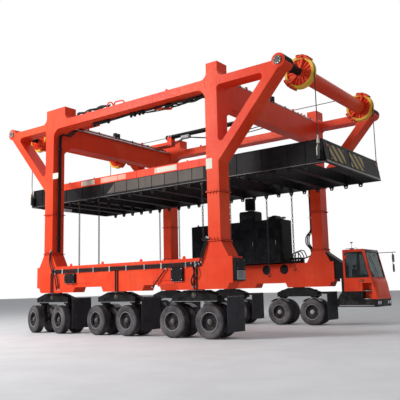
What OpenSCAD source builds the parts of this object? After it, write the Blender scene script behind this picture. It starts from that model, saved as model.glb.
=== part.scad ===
// Heavy wide straddle carrier: two side frames on twelve steered wheel pairs,
// joined by two cross beams, with a lifting frame hung on four ropes between them.
// +X is forward (the cab end), +Y is the cab side, +Z is up, the ground is Z = 0.

/* [Wheels] */
// Outer radius of a tyre
tyre_r = 560; // [540:5:565]
// Width of a tyre
tyre_w = 330; // [300:5:335]
// Gap between the two tyres of a pair
twin_gap = 340; // [330:5:345]
// Radius of a rim
rim_r = 308; // [280:2:330]
// Radius of a hub
hub_r = 96; // [90:2:110]
// Radius of the axle shaft in its housing
axle_r = 78; // [60:1:80]

/* [Bogies] */
// How far the wheel pairs' centres lie inside the side frames' outer faces
track_in = 440; // [380:10:480]
// Pitch of the three bogie seats along a sill
seat_pitch = 3700; // [3650:10:3750]
// Length of a bogie seat
seat_l = 2200; // [2000:10:2400]
// Height of a bogie seat under the sill
seat_h = 200; // [150:5:220]
// How far a bogie's centre trails its seat's centre
bogie_trail = 535; // [450:5:600]
// Distance between the two axles of a bogie
axle_pitch = 1550; // [1540:5:1600]
// Gap between the tyres and the walking beams over them
beam_gap = 100; // [90:5:140]
// Depth of a walking beam at its middle
walk_h = 380; // [300:10:400]
// Depth of a walking beam at its ends
walk_end_h = 190; // [150:10:220]
// Width of a walking beam
walk_w = 430; // [380:10:500]
// How far a walking beam reaches past its kingpins
walk_over = 200; // [150:10:240]
// Half length of a walking beam's flat top
walk_flat = 420; // [300:10:500]
// Height of the rocking block between a walking beam and its seat
rocker_h = 20; // [15:5:60]
// Length of the rocking block
rocker_l = 400; // [300:10:500]
// Width of the rocking block
rocker_w = 320; // [260:10:360]
// Radius of a kingpin
kingpin_r = 60; // [45:1:70]
// Length of a kingpin in its beam
kingpin_l = 150; // [120:5:170]
// Radius of a strut's turntable
turntable_r = 190; // [170:5:200]
// Thickness of a turntable
turntable_t = 50; // [30:5:50]
// Gap between a tyre and its strut
strut_gap = 45; // [35:5:60]
// Radius of an axle housing
housing_r = 140; // [120:5:160]
// Gap between an inner tyre and its guard
guard_gap = 30; // [20:5:40]
// Angle that a guard covers
guard_a = 84; // [60:2:100]
// Radius of the shaft's flanges that carry the wheels
flange_r = 150; // [130:5:180]
// Thickness of those flanges
hub_plate_t = 15; // [10:1:25]
// Depth of the wheels' inner faces where the flanges seat
wheel_dish = 60; // [50:5:80]
// How far a mud flap hangs over the ground
flap_low = 230; // [150:10:350]
// Gap between a mud flap and the wheels behind it at full steering
flap_gap = 30; // [20:5:60]
// Thickness of a mud flap
flap_t = 15; // [10:1:25]
// Width of a mud flap's arm
flap_arm_w = 120; // [80:10:200]
// Distance forward of mid-length of the point that all axles are turned towards
turn_x = 2000; // [1000:100:3000]
// Distance of that turning point from the machine's centre line
turn_y = 24000; // [20000:500:30000]

/* [Side frames] */
// Distance from the centre line to the outer face of each side frame
frame_y = 4140; // [4000:10:4400]
// Width of the side frames' box sections across the machine
frame_w = 600; // [500:10:660]
// How far the legs' centres stand past the outer bogie seats' centres
leg_past = 550; // [450:10:650]
// Length of a leg's box section along the machine
leg_l = 500; // [440:10:540]
// How far the sills reach past the legs
sill_over = 440; // [380:10:500]
// Height of the sills' box section
sill_h = 850; // [700:10:950]
// Height of the flared foot under each leg
foot_h = 530; // [300:10:600]
// How far a foot spreads past its leg at the sill
foot_flare = 300; // [150:10:340]
// Height of the upper bolted leg joint over the ground
splice_z = 4880; // [4300:10:5400]
// Thickness of one bolted joint plate
splice_t = 30; // [20:1:40]
// How far the joint plates stand out past the leg
splice_lip = 45; // [30:1:60]
// Height of the top beams' underside over the ground
beam_z = 8500; // [8200:10:8700]
// Height of the top beams' box section
beam_h = 320; // [300:10:400]
// Radius of the side windows' upper corners
window_r = 380; // [200:10:600]
// Height of the necks over the top beams
neck_h = 560; // [400:10:640]
// Radius of the fillets beside the necks
neck_r = 250; // [150:10:300]

/* [Outriggers] */
// Distance of the end shafts from mid-length
nose_x = 6910; // [6700:10:7100]
// How far the end shafts lie under the top beams' upper side
nose_drop = 30; // [20:5:60]
// Radius of the noses that hold the end shafts
nose_r = 240; // [210:5:280]
// Depth of the outrigger arms
arm_h = 290; // [240:10:300]
// Width of the diagonal braces
brace_w = 310; // [240:10:360]
// Slope of the diagonal braces
brace_a = 48; // [45:1:50]
// Corner radius of the outriggers' triangular openings
brace_r = 130; // [80:5:180]
// Radius of the bolted end caps on the noses
cap_r = 145; // [110:5:180]
// How far an end cap stands out
cap_t = 45; // [30:1:70]

/* [Cross beams and end pipes] */
// Depth of the cross beams
cross_h = 940; // [850:10:1200]
// Size of the haunches under the cross beams' ends
haunch = 350; // [200:10:420]
// Radius of the pipe between the sheaves
pipe_r = 255; // [200:5:280]
// Gap between a sheave and the pipe's end
pipe_gap = 60; // [40:5:100]
// Radius of the end shafts that carry the sheaves
shaft_r = 120; // [90:1:140]
// How far the shafts' collars stand out
collar_t = 45; // [30:5:60]
// Length of a shaft collar
collar_l = 300; // [200:10:400]
// Radius of the service pipes on the cross beams
service_r = 38; // [25:1:50]

/* [Hoist] */
// Distance of the ropes and sheaves from the centre line
rope_y = 2600; // [2560:10:2800]
// Radius of the sheaves' groove
groove_r = 500; // [460:10:540]
// Depth of the sheaves' groove
groove_d = 48; // [36:1:60]
// Width of the sheaves' rim
sheave_w = 210; // [160:10:240]
// Radial depth of the sheaves' rim under the groove
rim_d = 60; // [40:5:80]
// Radial thickness of the sheaves' hub
hub_t = 70; // [50:5:90]
// Radius of the hoist ropes
rope_r = 16; // [12:1:20]
// Radius of the hoist cylinders' tubes
tube_r = 110; // [90:5:130]
// Half length of the hoist cylinders
tube_half = 3300; // [3000:10:3500]
// Thickness of the hoist cylinders' heads
head_t = 60; // [40:5:80]
// Width of the saddles under the hoist cylinders
saddle_w = 300; // [260:10:340]
// Thickness of the saddles' foot plates
saddle_t = 120; // [80:10:160]
// Length of a saddle's cradle
cradle_l = 280; // [200:10:360]

/* [Lifting frame] */
// Height of the lifting frame's top over the ground as it is parked
spread_z = 6450; // [6300:10:6550]
// Depth of the lifting frame's girders
spread_h = 800; // [700:10:850]
// Distance of the girders' outer faces from the centre line
spread_y = 2440; // [2400:10:2480]
// Thickness of a girder
girder_w = 150; // [120:5:180]
// How far the lifting frame's top reaches past the hoist ropes
spread_over = 74; // [20:1:120]
// How far the sloped end faces reach out at their foot
spread_rake = 130; // [80:10:250]
// Thickness of the end faces
end_t = 120; // [100:5:160]
// Half length of the middle section with its painted rails
rail_half = 4500; // [4300:10:4600]
// How far behind mid-length the middle of the painted rails lies
rail_back = 800; // [600:10:1000]
// Height of the painted rails
rail_h = 300; // [250:10:340]
// How far the rails stand over the frame's top
rail_rise = 70; // [40:5:90]
// How far the rails stand out past a girder on each side
rail_lip = 20; // [10:1:30]
// Height of the cross members between the girders
member_h = 420; // [300:10:500]
// Thickness of a cross member's web
member_t = 40; // [30:1:50]
// Width of a cross member's lower flange
flange_w = 220; // [160:10:260]
// Thickness of a cross member's lower flange
flange_t = 30; // [20:1:40]
// Width of a marker plate on the end faces
marker_w = 1200; // [900:10:1400]
// Height of a marker plate
marker_h = 540; // [400:10:600]
// Between the middles of the two marker plates on an end face
marker_pitch = 1700; // [1500:10:2200]
// How far the pair of marker plates stands from mid-width, towards the near side
marker_aside = 600; // [0:10:600]

/* [Lugs and slings] */
// Height of the lugs under the frame
lug_h = 150; // [120:5:180]
// Length of a lug
lug_l = 200; // [160:5:240]
// Thickness of a lug
lug_t = 60; // [50:1:70]
// Radius of the hole in a lug
lug_hole_r = 32; // [25:1:36]
// Spacing of the lugs along the girders
lug_pitch = 620; // [560:10:700]
// Spacing of the lugs across the frame
cross_lug_pitch = 800; // [700:10:900]
// Radius of a shackle's pin
shackle_r = 22; // [18:1:24]
// Thickness of a chain link's bar
link_bar = 24; // [20:1:28]
// Inner length of a chain link
link_l = 110; // [100:2:120]
// Inner width of a chain link
link_w = 34; // [32:1:40]
// Outer radius of a hook
hook_r = 85; // [70:1:95]
// Inner radius of a hook
hook_in_r = 42; // [35:1:50]
// Thickness of a hook
hook_t = 40; // [30:1:50]

/* [Power pack] */
// Rear end of the power pack along the machine
pack_x = -2250; // [-2400:10:-2000]
// Length of the power pack
pack_l = 5000; // [4500:10:5200]
// Distance of the power pack's inner face from the centre line
pack_y = 3000; // [2900:10:3100]
// Width of the power pack
pack_w = 1100; // [1000:10:1140]
// Height of the power pack's housing
pack_h = 1930; // [1600:10:2000]
// Radius of the housing's upright edges
pack_r = 90; // [50:5:140]
// Height of the base frame under the power pack
pack_base = 50; // [40:5:100]
// Place of the air intake along the machine
intake_x = 890; // [600:10:1200]
// Height of the air intake's box
intake_h = 520; // [400:10:560]
// Radius of the rain cap over the air intake
intake_r = 240; // [200:5:280]
// Height of the rain cap
intake_cap_h = 530; // [300:10:600]
// Place of the exhaust hood along the machine
hood_x = 1850; // [1700:10:1950]

/* [Cab] */
// Gap between the sill's end and the cab's rear wall
cab_gap = 420; // [380:10:500]
// Length of the cab's roof
cab_roof_l = 940; // [880:10:1100]
// Length of the cab at its foot
cab_foot_l = 1410; // [1330:10:1500]
// Width of the cab
cab_w = 1600; // [1400:10:1700]
// Height of the cab's floor panel over the ground
cab_z = 1400; // [1300:10:1500]
// How far the cab's nose reaches under the floor panel
cab_drop = 330; // [250:10:400]
// Height of the cab over its floor panel
cab_h = 1720; // [1650:10:1800]
// Thickness of the cab's walls
cab_t = 50; // [40:1:60]
// Width of the pillars beside the windows
pillar = 90; // [70:5:110]
// Height of the windows' lower edge over the floor panel
sill_line = 560; // [500:10:700]
// Place of the step well behind the cab's rear wall
step_x = 790; // [740:10:850]
// Length of the step well
step_l = 400; // [350:10:440]
// Height of the step well's top over the floor panel
step_h = 330; // [250:10:400]
// Depth of the step well into the cab
step_d = 300; // [200:10:350]
// Width of the frame around the cab's door
door_edge = 70; // [60:1:80]
// Width of the door leaf's own rim around its window
door_rim = 25; // [20:1:40]
// Gap around the cab's door
door_gap = 6; // [6:1:10]
// Depth of the carrier under the cab
carrier_h = 640; // [560:10:700]
// Gap between the sill's end and the carrier under the cab
carrier_gap = 80; // [60:5:120]
// Height of the carrier's arm at the cab over the floor panel
arm_top = 1140; // [900:10:1200]

/* [Hidden] */
$fn = 64;

paint = "orangered";
black = [0.12, 0.12, 0.13];
steel = [0.6, 0.6, 0.62];
yellow = "gold";

// Round fits turn with run_gap, other neighbours stand seat_gap apart, and fused pieces sink in by weld
run_gap = 0.05;
seat_gap = 0.3;
weld = 1;

// Sideways distance of the origin from the machine's centre line, which puts it mid-width with the cab
datum_y = 450;

frame_in_y = frame_y - frame_w;
frame_mid_y = frame_y - frame_w / 2;
track_y = frame_y - track_in;
leg_x = seat_pitch + leg_past;
leg_in = leg_x - leg_l / 2;
leg_out = leg_x + leg_l / 2;
sill_half = leg_out + sill_over;

walk_z = 2 * tyre_r + beam_gap;
seat_z = walk_z + walk_h + rocker_h;
sill_z = seat_z + seat_h;
sill_top = sill_z + sill_h;
foot_top = sill_top + foot_h;
beam_top = beam_z + beam_h;
nose_z = beam_top - nose_drop;

rope_z = nose_z + groove_r + rope_r + seat_gap;
fall_x = nose_x + groove_r + rope_r + seat_gap;

// Necks over the legs: [end of the machine, reach past the leg's centre outwards, and inwards]
necks = [[-1, 220, 960], [1, 290, 180]];

wheel_x = [for (s = [-1, 0, 1]) for (a = [-1, 1]) s * seat_pitch - bogie_trail + a * axle_pitch / 2];
pair_half = twin_gap / 2 + tyre_w;
guard_r = tyre_r + guard_gap;
guard_t = 8;
pin_end_gap = 10;

// Distance of the mud flaps from the bogies' centres, past the wheel corners' turning circle
flap_x = axle_pitch / 2 + norm([tyre_r, pair_half]) + flap_gap;

spread_half = fall_x + spread_over;
spread_low = spread_z - spread_h;
girder_y = spread_y - girder_w / 2;
girder_in_y = spread_y - girder_w;
rail_top = spread_z + rail_rise;
rail_low = rail_top - rail_h;

// Cross members of the lifting frame: distances from mid-length, the fourth one with lugs
members = [0, 1375, 2750, 4100, 5150, 6200];
lug_member = members[3];

// Slings: [lug counted from mid-length, side, number of links]
slings = [
    [-7, -1, 24], [-5, -1, 24], [4, -1, 16], [6, -1, 18],
    [-6, 1, 20], [-4, 1, 20], [4, 1, 28], [6, 1, 26]];
lug_hole_drop = 0.6 * lug_h;
shackle_l = 110;
link_sink = 0.6;
link_step = link_l + link_sink;

cab_x = sill_half + cab_gap;
cab_y = frame_in_y;
cab_top = cab_z + cab_h;
cab_low = cab_z - cab_drop;
floor_z = cab_z + cab_t;
win_z = cab_z + sill_line;
win_top = cab_top - 2 * cab_t;
glass_t = 8;

function unit(v) = v / norm(v);

// Half of the angle at corner b between its neighbours a and c
function half_angle(a, b, c) = acos(unit(a - b) * unit(c - b)) / 2;

// Direction in which the wheel pair at (x, y) is set so that all axles meet in one turning point
function steer(x, y) = atan2(x - turn_x, turn_y - y);

// The cab's raked front at height z
function front_x(z) = cab_x + cab_foot_l - (cab_foot_l - cab_roof_l) * (z - cab_low) / (cab_top - cab_low);

// Puts the origin under the middle of the overall width
module placed() {
    translate([0, -datum_y, 0]) children();
}

// A convex outline with every corner rounded by radius r
module rounded(points, r) {
    n = len(points);
    corner = [for (i = [0:n - 1]) [points[(i + n - 1) % n], points[i], points[(i + 1) % n]]];
    polygon([for (c = corner) for (end = [c[0], c[2]])
        c[1] + unit(end - c[1]) * r / tan(half_angle(c[0], c[1], c[2]))]);
    for (c = corner)
        translate(c[1] + unit(unit(c[0] - c[1]) + unit(c[2] - c[1])) * r / sin(half_angle(c[0], c[1], c[2])))
            circle(r);
}

// A concave fillet of radius r in the corner at the origin, filling towards +X +Y
module corner_fill(r) {
    difference() {
        square(r);
        translate([r, r]) circle(r);
    }
}

// Stands an outline drawn along X and up on the plane at distance y, w thick towards +Y
module upright(y, w) {
    translate([0, y + w, 0]) rotate([90, 0, 0]) linear_extrude(w) children();
}

module box(x, y, z) {
    translate([x[0], y[0], z[0]]) cube([x[1] - x[0], y[1] - y[0], z[1] - z[0]]);
}

// A round bar along Y from y0 to y1
module bar_y(x, z, y0, y1, r) {
    translate([x, y1, z]) rotate([90, 0, 0]) cylinder(r = r, h = y1 - y0);
}

// A round bar along X from x0 to x1
module bar_x(y, z, x0, x1, r) {
    translate([x0, y, z]) rotate([0, 90, 0]) cylinder(r = r, h = x1 - x0);
}

// Copies a piece to both ends of the machine
module both_ends() {
    for (m = [0, 1]) mirror([m, 0, 0]) children();
}

// One sill whose inner or outer face lies at y: box, two flared feet and three bogie seats
module sill(y) {
    box([-sill_half, sill_half], [y, y + frame_w], [sill_z, sill_top]);
    both_ends() upright(y, frame_w)
        polygon([[leg_in - foot_flare, sill_top - weld], [leg_out + foot_flare, sill_top - weld],
            [leg_out, foot_top], [leg_in, foot_top]]);
    for (s = [-1, 0, 1]) translate([s * seat_pitch, 0, 0]) upright(y, frame_w)
        polygon([[seat_h / 2 - seat_l / 2, seat_z], [seat_l / 2 - seat_h / 2, seat_z],
            [seat_l / 2, sill_z + weld], [-seat_l / 2, sill_z + weld]]);
}

// Shallow recesses in the near sill's outer face: [from x, to x, height of its foot over the sill's, height]
recesses = [[-2700, -1660, 40, 110], [1530, 2310, 20, 120]];
recess_t = 25;

module near_sill() {
    color(paint) difference() {
        sill(-frame_y);
        for (c = recesses)
            box([c[0], c[1]], [-frame_y - weld, recess_t - frame_y], [sill_z + c[2], sill_z + c[2] + c[3]]);
    }
}

// Blind round recesses in the far sill's inner face: places along it, and their radius
port_x = [1640, 2560];
port_r = 220;

module far_sill() {
    color(paint) difference() {
        sill(frame_in_y);
        for (x = port_x)
            bar_y(x, sill_top - port_r - recess_t, frame_in_y - weld, frame_in_y + 2 * recess_t, port_r);
    }
}

module leg_sections() {
    lip = [-splice_lip, splice_lip];
    color(paint) for (s = [-1, 1], t = [-1, 1]) {
        x = [s * leg_x - leg_l / 2, s * leg_x + leg_l / 2];
        y = [t * frame_mid_y - frame_w / 2, t * frame_mid_y + frame_w / 2];
        box(x, y, [foot_top, splice_z]);
        for (z = [foot_top, splice_z - splice_t]) box(x + lip, y + lip, [z, z + splice_t]);
    }
}

// One outrigger at the +X end: arm, brace and nose around a rounded triangular opening
module outrigger() {
    reach = nose_x - leg_out;
    arm_low = beam_top - arm_h;
    half = brace_w / 2 / cos(brace_a);
    opening = [
        [leg_out, arm_low],
        [leg_out, nose_z - reach * tan(brace_a) + half],
        [nose_x - (nose_z + half - arm_low) / tan(brace_a), arm_low]];
    difference() {
        polygon([[leg_out - weld, beam_top], [leg_out - weld, nose_z - (reach + weld) * tan(brace_a) - half],
            [nose_x + brace_w / 2 * sin(brace_a), nose_z - brace_w / 2 * cos(brace_a)],
            [nose_x, beam_top]]);
        rounded(opening, brace_r);
    }
}

// Upper legs and top beam of a side frame around the upper half of its window
module portal_frame() {
    low = splice_z - 2 * window_r;
    difference() {
        translate([-leg_out, splice_z]) square([2 * leg_out, beam_top - splice_z]);
        rounded([[-leg_in, low], [leg_in, low], [leg_in, beam_z], [-leg_in, beam_z]], window_r);
    }
}

// One side frame's upper half with its inner or outer face at y
module portal(y) {
    color(paint) {
        upright(y, frame_w) portal_frame();
        both_ends() {
            upright(y, frame_w) outrigger();
            bar_y(nose_x, nose_z, y, y + frame_w, nose_r);
        }
        for (n = necks) mirror([n[0] < 0 ? 1 : 0, 0, 0]) translate([0, y, beam_top - weld]) {
            box([leg_x - n[2], leg_x + n[1]], [0, frame_w], [0, neck_h + weld]);
            translate([leg_x + n[1], 0, weld]) upright(0, frame_w) corner_fill(neck_r);
            translate([leg_x - n[2], 0, weld]) mirror([1, 0, 0]) upright(0, frame_w) corner_fill(neck_r);
        }
    }
}

module near_portal() {
    portal(-frame_y);
}

module far_portal() {
    portal(frame_in_y);
}

module cross_beams() {
    low = beam_top - cross_h;
    color(paint) for (s = [-1, 1])
        translate([s * leg_x - leg_l / 2, 0, 0]) rotate([90, 0, 90]) linear_extrude(leg_l)
            polygon([[frame_in_y, beam_top], [-frame_in_y, beam_top],
                [-frame_in_y, low - haunch], [haunch - frame_in_y, low],
                [frame_in_y - haunch, low], [frame_in_y, low - haunch]]);
}

module end_pipes() {
    pipe_half = rope_y - sheave_w / 2 - pipe_gap;
    collar_y = frame_in_y - pipe_gap;
    color(paint) both_ends() {
        bar_y(nose_x, nose_z, -pipe_half, pipe_half, pipe_r);
        bar_y(nose_x, nose_z, -frame_in_y, frame_in_y, shaft_r);
        for (y = [-collar_y, collar_y - collar_l]) bar_y(nose_x, nose_z, y, y + collar_l, shaft_r + collar_t);
    }
}

module nose_caps() {
    color(steel) both_ends()
        for (y = [-frame_y - cap_t, frame_y]) bar_y(nose_x, nose_z, y, y + cap_t, cap_r);
}

// One grooved rope sheave with slots in its web, centred on the shaft
module sheave() {
    rim_half = sheave_w / 2;
    web_half = rim_half / 3;
    groove_half = rope_r + 4;
    out = groove_r + groove_d;
    hub = shaft_r + hub_t;
    web_out = groove_r - rim_d - 30;
    half = [[shaft_r + run_gap, rim_half], [hub, rim_half], [hub, web_half], [web_out, web_half],
        [groove_r - rim_d, rim_half], [out, rim_half], [out, rim_half - 20], [groove_r, groove_half]];
    rotate([90, 0, 0]) difference() {
        rotate_extrude() polygon(concat(half, [for (i = [len(half) - 1:-1:0]) [half[i][0], -half[i][1]]]));
        for (i = [0:7]) rotate(i * 45) translate([(hub + web_out) / 2, 0, 0])
            cube([web_out - hub - 60, 70, sheave_w], center = true);
    }
}

module sheaves(s) {
    color(yellow) for (t = [-1, 1]) translate([s * nose_x, t * rope_y, nose_z]) sheave();
}

module front_sheaves() {
    sheaves(1);
}

module rear_sheaves() {
    sheaves(-1);
}

// Rope sockets on the lifting frame: a round socket over a flat shackle, beside the girder
socket_r = 48;
socket_top = spread_z + 100;
socket_low = spread_z - 190;

module rope_falls() {
    color(black) both_ends() for (t = [-1, 1])
        translate([fall_x, t * rope_y, socket_top]) cylinder(r = rope_r, h = nose_z - socket_top);
}

module rope_runs() {
    color(black) both_ends() for (t = [-1, 1]) {
        bar_x(t * rope_y, rope_z, tube_half + head_t, nose_x, rope_r);
        translate([nose_x, t * rope_y, nose_z]) rotate([90, 0, 0])
            rotate_extrude(angle = 90) translate([groove_r + rope_r + seat_gap, 0]) circle(rope_r);
    }
}

module hoist_cylinders() {
    color(black) for (t = [-1, 1]) {
        bar_x(t * rope_y, rope_z, -tube_half, tube_half, tube_r);
        both_ends() bar_x(t * rope_y, rope_z, tube_half, tube_half + head_t, tube_r + rope_r);
    }
}

module cylinder_saddles() {
    saddle_x = tube_half - cradle_l - head_t;
    color(paint) both_ends() for (t = [-1, 1]) {
        y = [t * rope_y - saddle_w / 2, t * rope_y + saddle_w / 2];
        box([saddle_x, leg_out - head_t], y, [beam_top, beam_top + saddle_t]);
        difference() {
            box([saddle_x, saddle_x + cradle_l], y, [beam_top + weld, rope_z]);
            bar_x(t * rope_y, rope_z, saddle_x - weld, tube_half, tube_r + seat_gap);
        }
    }
}

module service_pipes() {
    color(steel) both_ends()
        bar_y(leg_in - service_r, beam_top - 2 * service_r, -frame_in_y, frame_in_y, service_r);
}

// Hoses on the near side: three in a row up each leg, over its joint plates and held by clamps, three
// along the sill, and pairs down to each bogie
hose_r = 22;
hose_pitch = 55;
hose_z = sill_z + 650;
hose_start = foot_top + 80;
hose_end = beam_z - window_r;
hose_x = leg_in - splice_lip - seat_gap - hose_r;
clamp_h = 60;
clamps = [0.12, 0.55, 0.9];

module hose_lines() {
    run_y = -frame_y - hose_r;
    clamp_w = hose_pitch + hose_r + 8;
    color(black) {
        both_ends() translate([0, -frame_mid_y, 0]) {
            for (i = [-1, 0, 1]) translate([hose_x, i * hose_pitch, hose_start])
                cylinder(r = hose_r, h = hose_end - hose_start);
            for (c = clamps) translate([0, 0, hose_start + c * (hose_end - hose_start)])
                box([hose_x - hose_r - 8, leg_in], [-clamp_w, clamp_w], [0, clamp_h]);
        }
        for (i = [-1, 0, 1]) bar_x(run_y, hose_z + i * hose_pitch, -leg_in, leg_in - foot_flare, hose_r);
        for (s = [-1, 0, 1], i = [-1, 1])
            translate([s * seat_pitch - bogie_trail / 2 + i * hose_pitch, run_y, seat_z])
                cylinder(r = hose_r, h = hose_z - hose_pitch - hose_r - seat_z);
    }
}

// Boxes on the near sill's outer face: [from x, to x, height of its foot over the sill's, height, thickness]
covers = [[-3120, -2520, 170, 370, 90], [2410, 2930, 100, 460, 70]];

// Box on the sill's end: its thickness, its set-back from the sill's sides, and from its foot and top
end_box_t = 120;
end_box_in = 20;
end_box_low = 50;
end_box_drop = 70;

module sill_boxes() {
    color(black) {
        for (c = covers)
            box([c[0], c[1]], [-frame_y - c[4], -frame_y], [sill_z + c[2], sill_z + c[2] + c[3]]);
        box([sill_half, sill_half + end_box_t], [end_box_in - frame_y, -frame_in_y - end_box_in],
            [sill_z + end_box_low, sill_top - end_box_drop]);
    }
}

module power_pack() {
    low = sill_top + pack_base;
    color(black) {
        translate([0, 0, low]) linear_extrude(pack_h)
            rounded([[pack_x, pack_y], [pack_x + pack_l, pack_y],
                [pack_x + pack_l, pack_y + pack_w], [pack_x, pack_y + pack_w]], pack_r);
        box([pack_x + pack_r, pack_x + pack_l - pack_r], [frame_in_y, pack_y + pack_w], [sill_top, low + weld]);
        translate([intake_x, pack_y + pack_w / 2, low + pack_h - weld]) {
            upright(-300, 600) polygon([[-430, 0], [430, 0], [430, intake_h - 60], [370, intake_h],
                [-370, intake_h], [-430, intake_h - 60]]);
            cylinder(r = intake_r / 2, h = intake_h + 100);
            translate([0, 0, intake_h + 80]) cylinder(r = intake_r, h = intake_cap_h);
        }
        translate([hood_x, pack_y + pack_w / 2, low + pack_h - weld])
            upright(-250, 500) polygon([[0, 0], [600, 0], [500, 210], [350, 210]]);
    }
}

// Side view of the cab set back by inset on all sides, with its nose reaching under the floor panel
module cab_outline(inset) {
    low = cab_low + inset;
    top = cab_top - inset;
    polygon([[cab_x + inset, cab_z + inset], [cab_x + step_x + inset, cab_z + inset],
        [cab_x + step_x + inset, low], [front_x(low) - inset, low],
        [front_x(top) - inset, top], [cab_x + inset, top]]);
}

// Outline of a side opening between two heights, kept back from the walls by edge
module side_opening(z0, z1, edge) {
    polygon([[cab_x + edge, z0], [front_x(z0) - edge, z0], [front_x(z1) - edge, z1], [cab_x + edge, z1]]);
}

// Outline of the cab's door, which steps back over the step well
module door_outline(edge) {
    difference() {
        side_opening(cab_z + edge, cab_top - edge, edge);
        translate([cab_x + step_x - edge, cab_z]) square([cab_foot_l, step_h + edge]);
    }
}

// The step well in the cab's near side, grown by its walls
module step_well(wall) {
    box([cab_x + step_x - wall, cab_x + step_x + step_l + wall], [cab_y - weld, cab_y + step_d + wall],
        [cab_low - weld, cab_z + step_h + wall]);
}

// Door hinges: their axis stands off the wall, with a pin on the cab and a barrel on the door
hinge_x = cab_x + door_edge / 2;
hinge_y = cab_y - 20;
hinge_pin_r = 8;
hinge_barrel_r = 14;
hinge_h = 100;
hinge_plate = 12;
hinge_z = [cab_z + 300, cab_top - 300];

module hinge_pins() {
    for (z = hinge_z) translate([hinge_x, hinge_y, z]) {
        cylinder(r = hinge_pin_r, h = hinge_h + 2 * hinge_plate, center = true);
        for (s = [-1, 1]) translate([0, 0, s * (hinge_h / 2 + hinge_plate / 2 + seat_gap)]) {
            cylinder(r = hinge_barrel_r, h = hinge_plate, center = true);
            translate([-hinge_barrel_r, 0, -hinge_plate / 2])
                cube([2 * hinge_barrel_r, cab_y - hinge_y + weld, hinge_plate]);
        }
    }
}

module cab_shell() {
    inner_y = [cab_y + pillar, cab_y + cab_w - pillar];
    color(paint) {
        hinge_pins();
        difference() {
            upright(cab_y, cab_w) cab_outline(0);
            difference() {
                upright(cab_y + cab_t, cab_w - 2 * cab_t) cab_outline(cab_t);
                step_well(cab_t);
            }
            step_well(0);
            upright(cab_y - weld, cab_t + 2 * weld) door_outline(door_edge);
            upright(cab_y + cab_w - cab_t - weld, cab_t + 2 * weld) side_opening(win_z, win_top, pillar);
            box([cab_x - weld, cab_x + cab_t + weld], inner_y, [win_z, win_top]);
            box([front_x(win_top) - 2 * cab_t, front_x(cab_low)], inner_y, [win_z, win_top]);
        }
    }
}

door_t = cab_t - 10;

module cab_door() {
    edge = door_edge + door_gap;
    strap_l = 150;
    color(paint) {
        difference() {
            upright(cab_y, door_t) door_outline(edge);
            upright(cab_y - weld, door_t + 2 * weld) side_opening(win_z, win_top - door_gap, edge + door_rim);
        }
        for (z = hinge_z) translate([hinge_x, hinge_y, z - hinge_h / 2]) difference() {
            union() {
                cylinder(r = hinge_barrel_r, h = hinge_h);
                translate([0, -hinge_plate / 2, 0]) cube([strap_l, hinge_plate, hinge_h]);
                translate([door_edge / 2 + 3 * door_gap, 0, 0])
                    cube([strap_l - door_edge / 2 - 3 * door_gap, cab_y - hinge_y + weld, hinge_h]);
            }
            translate([0, 0, -weld]) cylinder(r = hinge_pin_r + run_gap, h = hinge_h + 2 * weld);
        }
    }
}

module door_glass() {
    color("lightblue", 0.4) upright(cab_y + door_t / 2, glass_t)
        side_opening(win_z + seat_gap, win_top - door_gap - seat_gap,
            door_edge + door_gap + door_rim + seat_gap);
}

module cab_glass() {
    y = [cab_y + pillar + seat_gap, cab_y + cab_w - pillar - seat_gap];
    z = [win_z + seat_gap, win_top - seat_gap];
    back = cab_t / 2;
    color("lightblue", 0.4) {
        upright(cab_y + cab_w - back, glass_t) side_opening(z[0], z[1], pillar + seat_gap);
        box([cab_x + back, cab_x + back + glass_t], y, z);
        upright(y[0], y[1] - y[0])
            polygon([[front_x(z[0]) - back, z[0]], [front_x(z[0]) - back + glass_t, z[0]],
                [front_x(z[1]) - back + glass_t, z[1]], [front_x(z[1]) - back, z[1]]]);
    }
}

seat_x = cab_x + 420;
seat_y = cab_y + cab_w / 2;
cushion_z = floor_z + 380;

module cab_seat() {
    color(black) translate([seat_x, seat_y, 0]) {
        box([-230, 260], [-250, 250], [cushion_z, cushion_z + 120]);
        box([-300, -180], [-250, 250], [cushion_z + 60, cushion_z + 700]);
        box([-190, 190], [-190, 190], [floor_z, cushion_z + weld]);
    }
}

module cab_console() {
    color(black) {
        for (t = [-1, 1]) translate([seat_x, seat_y + t * 360, floor_z]) {
            box([-150, 330], [-80, 80], [0, 640]);
            translate([250, 0, 640 - weld]) cylinder(r = 22, h = 130);
        }
        box([seat_x + 520, seat_x + 620], [seat_y - 200, seat_y + 200], [cab_low + cab_t, floor_z + 700]);
    }
}

// Carrier of the cab: arm from the sill and the leg's foot, post behind the cab, and skirt under it
module cab_carrier() {
    post = cab_x - 120;
    back = sill_half + carrier_gap;
    low = sill_z + 120;
    rise = foot_h - 100;
    top = cab_z + arm_top;
    color(black) {
        upright(cab_y + 60, frame_w - 120)
            polygon([[sill_half, low], [cab_x, low], [cab_x, top],
                [leg_out + foot_flare * (foot_h - rise) / foot_h, sill_top + rise],
                [leg_out + foot_flare, sill_top], [sill_half, sill_top]]);
        box([post, cab_x], [cab_y + 20, frame_y], [cab_z - weld, top]);
        upright(cab_y + 20, cab_w - 40)
            polygon([[back, cab_z - carrier_h], [front_x(cab_low) - 20, cab_z - carrier_h],
                [front_x(cab_low) - 20, cab_low], [cab_x + step_x, cab_low], [cab_x + step_x, cab_z],
                [post, cab_z], [back, cab_low]]);
    }
}

// Mirror arm: its radius, its set-back from the cab's side and top, the stem's reach past the roof,
// the arm's end past the stem, the stem's length, and the heads: [drop, height, half width]
arm_r = 16;
arm_in = 60;
arm_drop = 120;
stem_reach = 650;
arm_over = 150;
stem_l = 840;
mirror_t = 40;
mirrors = [[420, 340, 110], [830, 330, 80]];

// Beacon on the roof: its place from the cab's rear and side, then its foot, mast and cap
beacon_x = 330;
beacon_y = 250;
beacon_r = 110;
beacon_h = 60;
mast_h = 300;
mast_cap_r = 60;

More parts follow.
